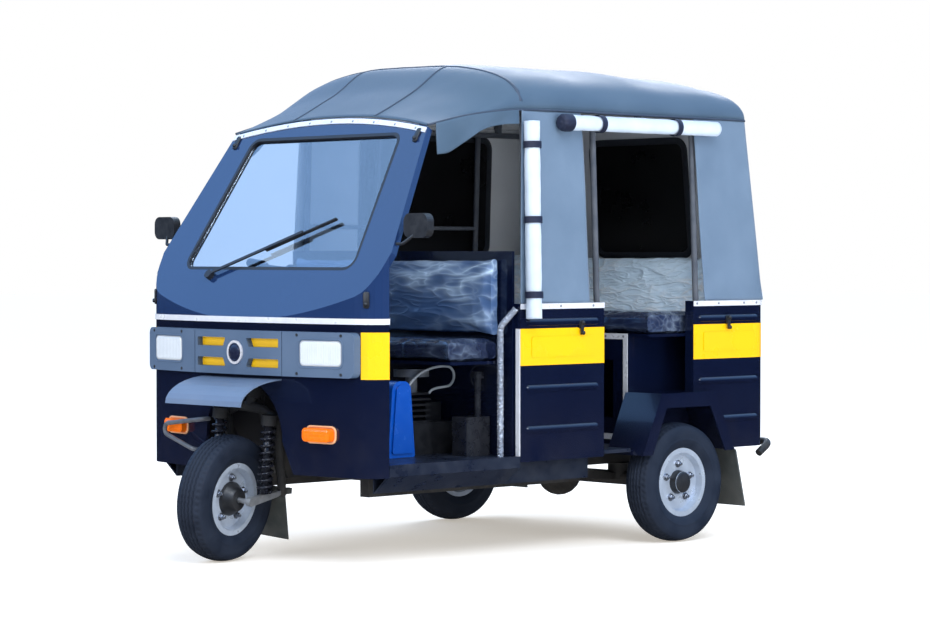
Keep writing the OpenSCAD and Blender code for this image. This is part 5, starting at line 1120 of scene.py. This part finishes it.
# Door valances: flaps of the same vinyl that hang from the roof's edge over the driver's doorways,
# longest at their front tip and buckled along their lower edge.
# Rows of station and height along the lower edge, from the tip to the upright roll
valance_edge = [(0.551, 1.5660), (0.608, 1.5760), (0.667, 1.6090), (0.751, 1.6630), (0.839, 1.6860),
                (0.925, 1.6920)]
valance_rows, valance_columns = 14, 48
valance_size, valance_thick = (0.38, 0.125), 0.0025
valance_gap, valance_drop = 0.005, 0.001
buckle_depth, buckle_fade, buckle_turn, buckle_lean, buckle_grain = 0.007, 0.6, 13.0, 1.5, 0.003
for side_name, side in (("left", 1), ("right", -1)):
    points = []
    for drop in steps_between(0, 1, valance_rows):
        for t in steps_between(0, 1, valance_columns):
            station = valance_edge[0][0] + (valance_edge[-1][0] - valance_edge[0][0]) * t
            top = roof_point(station, 1.0)
            p = top.lerp(Vector((top.x, top.y, smooth_row(valance_edge, station)[0])), drop)
            buckle = buckle_depth * (1 - buckle_fade * t) * math.sin(buckle_turn * t + buckle_lean * drop)
            wave = drop * (buckle + buckle_grain * grain_noise(p, 14.0, 14.0, 6.0))
            points.append(Vector((side * (p.x + valance_gap + wave), p.y, p.z - valance_drop)))
    valance_shape = points, grid_faces(valance_rows + 1, valance_columns + 1)
    valance = new_piece("door_valance_" + side_name, valance_shape, roof_vinyl_painted_shade)
    thicken(valance, valance_thick)

# Side and back canvas: flat panels of the roof's own vinyl, tinted paler as painted light, clamped at the
# waist by bright strips and sewn to the roof at the seam. The corners at the back are rounded, and the dark
# panes are sewn into them.
waist_height, waist_half = 0.990, 0.692
back_low, back_high = 2.389, 2.312
canvas_corner, canvas_thick, canvas_tuck = 0.07, 0.003, 0.001
# The walls are tinted paler than the roof though they are the same vinyl: painted light.
wall_canvas_painted_light = toned_finish(
    "canopy_wall_painted_light", (0.100, 0.155, 0.232), (0.145, 0.212, 0.305), scale=3.5, rough=0.5, wear=0.75,
    spread=0.16, grain=1400.0, bump=0.0005, Sheen_Weight=0.1, Specular_IOR_Level=0.4)


def wall_path(half, front, back, sign, steps):
    path = [(sign * half, station) for station in steps_between(front, back - canvas_corner, steps, False)]
    for a in steps_between(0.0, math.pi / 2, 8):
        path.append((sign * (half - canvas_corner + canvas_corner * math.cos(a)),
                     back - canvas_corner + canvas_corner * math.sin(a)))
    return path


def wall_share(z):
    return (z - waist_height) / (seam_height - waist_height)


def canvas_wall(name, low_path, high_path, heights, hole=None):
    points = []
    for z in heights:
        t = wall_share(z)
        for (x0, y0), (x1, y1) in zip(low_path, high_path):
            points.append(Vector((x0 + (x1 - x0) * t, axle_y + y0 + (y1 - y0) * t, z)))
    faces = []
    for face in grid_faces(len(heights), len(low_path)):
        middle = sum((points[k] for k in face), Vector()) / 4
        if hole is None or not hole(middle):
            faces.append(face)
    return new_piece(name, (points, faces), wall_canvas_painted_light), points


strip_fold_reach, seam_fold_fade, seam_fold_least = 0.17, 0.1, 0.2
wall_wave, wall_crease, wall_slant = 0.0065, 0.0022, 0.0055


def wall_folds(p):
    near_strip = max(0.0, 1 - (p.z - waist_height) / strip_fold_reach)
    broad = wall_wave * grain_noise(p, 3.0, 3.0, 1.6)
    upright = wall_crease * grain_noise(p, 16.0, 16.0, 2.5)
    slants = wall_slant * near_strip * ridge(Vector((p.y * 9 + p.z * 7, p.z * 3, p.x)), 1.0, 3.0)
    return broad * min(1.0, (seam_height - p.z) / seam_fold_fade + seam_fold_least) + upright + slants


wall_front_low, wall_front_high = 0.912, 0.942
mid_rear_low, mid_rear_high = 1.300, 1.270
rear_front_low, rear_front_high = 1.988, 1.942
wall_heights = steps_between(waist_height, seam_height - canvas_tuck, 60)
mid_low = [(waist_half, station) for station in steps_between(wall_front_low, mid_rear_low, 32)]
mid_high = [(seam_half_width, station) for station in steps_between(wall_front_high, mid_rear_high, 32)]
mid_wall, mid_points = canvas_wall("canopy_mid_wall", mid_low, mid_high, wall_heights)
rear_low = wall_path(waist_half, rear_front_low, back_low, 1, 24)
rear_high = wall_path(seam_half_width, rear_front_high, back_high, 1, 24)
rear_wall, rear_points = canvas_wall("canopy_rear_wall", rear_low, rear_high, wall_heights)
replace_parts(mid_wall, "canopy_sides_left")
pane_low, pane_high, back_pane_high = 1.185, 1.690, 1.670
pane_front, pane_rear, back_pane_half = 1.300, 2.046, 0.272
pane_row_gap = 0.008
pane_edges = [pane_low, back_pane_high, pane_high]
pane_heights = [z for z in wall_heights if min(abs(z - edge) for edge in pane_edges) > pane_row_gap]
pane_heights = sorted(pane_heights + pane_edges)


def in_side_pane(p):
    return pane_low < p.z < pane_high and pane_front < p.y - axle_y < pane_rear


def in_back_pane(p):
    return pane_low < p.z < back_pane_high and abs(p.x) < back_pane_half


right_low = wall_path(waist_half, wall_front_low, back_low, -1, 90)[::-1]
right_high = wall_path(seam_half_width, wall_front_high, back_high, -1, 90)[::-1]
right_wall, right_points = canvas_wall("canopy_right_wall", right_low, right_high, pane_heights,
                                       in_side_pane)
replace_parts(right_wall, "canopy_side_right")
back_shares = steps_between(1, -1, 50)
back_low_path = [(x * (waist_half - canvas_corner), back_low) for x in back_shares]
back_high_path = [(x * (seam_half_width - canvas_corner), back_high) for x in back_shares]
back_wall, back_points = canvas_wall("canopy_back_wall", back_low_path, back_high_path, pane_heights,
                                     in_back_pane)
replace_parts(back_wall, "canopy_back")
side_pane_area = (pane_rear - pane_front) * (pane_high - pane_low)
back_pane_area = 2 * back_pane_half * (back_pane_high - pane_low)
# Each wall: piece, points, columns, area of its window, and how deep its folds are
wall_rows = [(mid_wall, mid_points, len(mid_low), 0.0, 1.0),
             (rear_wall, rear_points, len(rear_low), 0.0, 1.0),
             (right_wall, right_points, len(right_low), side_pane_area, 0.35),
             (back_wall, back_points, len(back_low_path), back_pane_area, 0.35)]
for wall, wall_points, columns, pane_area, fold_share in wall_rows:
    ruffle(wall, lambda p: fold_share * wall_folds(p))
    thicken(wall, canvas_thick, lining_cloth)

# Window panes: black sheeting sewn into the right and back canvas. Each is bound round its edge with a
# flat tape, which covers the cut edge of the canvas.
dark_pane = toned_finish(
    "dark_pane_sheeting", (0.0025, 0.0025, 0.003), (0.006, 0.006, 0.007), scale=6.0, rough=0.3,
    spread=0.1, Specular_IOR_Level=0.25)
dress(dark_pane, "window_panes")
tape_vinyl = toned_finish(
    "binding_tape", (0.012, 0.015, 0.022), (0.03, 0.035, 0.045), scale=40.0, rough=0.5, spread=0.15,
    grain=900.0, bump=0.0003)
# Section of the binding tape: how far it stands outside the pane's edge, and out of the wall
tape_section = ((-0.008, -0.0085), (-0.008, 0.0015), (-0.006, 0.003), (0.019, 0.003), (0.021, 0.0015),
                (0.021, -0.0085), (0.019, -0.010), (-0.006, -0.010))
pane_corner, tape_corner_steps = 0.040, 8


def side_pane_point(u, v, out):
    z = pane_low + (pane_high - pane_low) / 2 + v
    x = waist_half + (seam_half_width - waist_half) * wall_share(z)
    return Vector((-x - out, axle_y + (pane_front + pane_rear) / 2 + u, z))


def back_pane_point(u, v, out):
    z = pane_low + (back_pane_high - pane_low) / 2 + v
    return Vector((u, axle_y + back_low + (back_high - back_low) * wall_share(z) + out, z))


tape_rows = [("side", side_pane_point, pane_rear - pane_front, pane_high - pane_low),
             ("back", back_pane_point, 2 * back_pane_half, back_pane_high - pane_low)]
for tape_name, tape_point, pane_w, pane_h in tape_rows:
    tape_rings = []
    for grow, out in tape_section:
        loop = rounded_loop(pane_w + 2 * grow, pane_h + 2 * grow, pane_corner + grow, tape_corner_steps)
        tape_rings.append([tape_point(u, v, out) for u, v in loop])
    count = len(tape_rings[0])
    tape_points = [ring[i] for i in range(count) for ring in tape_rings]
    tape_shape = tape_points, grid_faces(count, len(tape_section), True, True)
    new_piece("pane_binding_" + tape_name, tape_shape, tape_vinyl)

# Rolled side curtains: white sheeting rolled up tight and tied with navy webbing, one level over the
# passengers' doorway and one upright behind the driver's. The level one has a gathered black end.
roll_radius, roll_turns, roll_start_turn = 0.034, 2.6, 2.2
roll_steps, roll_length_steps, roll_thick = 78, 70, 0.0012
roll_shrink, roll_wrinkle = 0.012, 0.0016
wrinkle_along, wrinkle_round = 16, 1.4
pinch_depth, pinch_sharpness = 0.0022, 26
roll_sheeting = toned_finish(
    "roll_sheeting", (0.57, 0.65, 0.75), (0.44, 0.53, 0.66), scale=11.0, rough=0.38, wear=0.6,
    spread=0.15, grain=700.0, bump=0.0004)
strap_webbing = toned_finish(
    "navy_webbing", (0.008, 0.012, 0.035), (0.02, 0.026, 0.055), scale=90.0, rough=0.65, spread=0.1,
    grain=1100.0, bump=0.0006)
dress(strap_webbing, "curtain_straps")
level_start, level_end = Vector((0.7046, 0.0425, 1.702)), Vector((0.7046, 0.9405, 1.702))
upright_foot, upright_top = Vector((0.734, -0.1555, 0.932)), Vector((0.7046, -0.1395, 1.702))
# Each roll: its name, its ends, and its straps as shares of its length
roll_rows = [("upright", upright_foot, upright_top, (0.12, 0.5, 0.88)),
             ("level", level_start, level_end, (0.22, 0.72))]
for roll_name, roll_from, roll_to, strap_shares in roll_rows:
    way = (roll_to - roll_from).normalized()
    out = (Vector((1.0, 0.0, 0.0)) - way * way.x).normalized()
    over = way.cross(out)
    points = []
    for share in steps_between(0, 1, roll_length_steps):
        pinch = max(math.exp(-((share - s) * pinch_sharpness) ** 2) for s in strap_shares)
        p = roll_from + (roll_to - roll_from) * share
        for turn_share in steps_between(0, 1, roll_steps - 1):
            a = 2 * math.pi * roll_turns * turn_share + roll_start_turn
            wrinkle_spot = Vector((share * wrinkle_along, math.cos(a) * wrinkle_round,
                                   math.sin(a) * wrinkle_round))
            wrinkle = noise.noise(wrinkle_spot)
            radius = roll_radius - roll_shrink * turn_share - pinch_depth * pinch
            radius += (1 - turn_share) * roll_wrinkle * wrinkle
            points.append(p + out * radius * math.cos(a) + over * radius * math.sin(a))
    roll_shape = points, grid_faces(roll_length_steps + 1, roll_steps)
    roll = new_piece("curtain_roll_" + roll_name, roll_shape, roll_sheeting)
    thicken(roll, roll_thick)
    if roll_name == "upright":
        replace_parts(roll, "curtain_rolls")
# The gathered end: offsets along the roll and radii, drawn in by pleats
gather_profile = ((0.030, 0.0352), (0.004, 0.0356), (-0.012, 0.0345), (-0.020, 0.029), (-0.023, 0.020),
                  (-0.020, 0.011), (-0.024, 0.006), (-0.024, 0.0))
gather_sides, gather_pleats, pleat_share = 72, 9, 0.07
gather_points = []
for offset, radius in gather_profile:
    for k in range(gather_sides):
        a = 2 * math.pi * k / gather_sides
        drawn = radius * (1 - pleat_share * (0.5 + 0.5 * math.cos(gather_pleats * a)) * (offset < 0.0))
        gather_points.append(level_start + Vector((drawn * math.cos(a), offset, drawn * math.sin(a))))
gather_shape = gather_points, grid_faces(len(gather_profile), gather_sides, False, True)
new_piece("roll_gathered_end", gather_shape, strap_webbing)
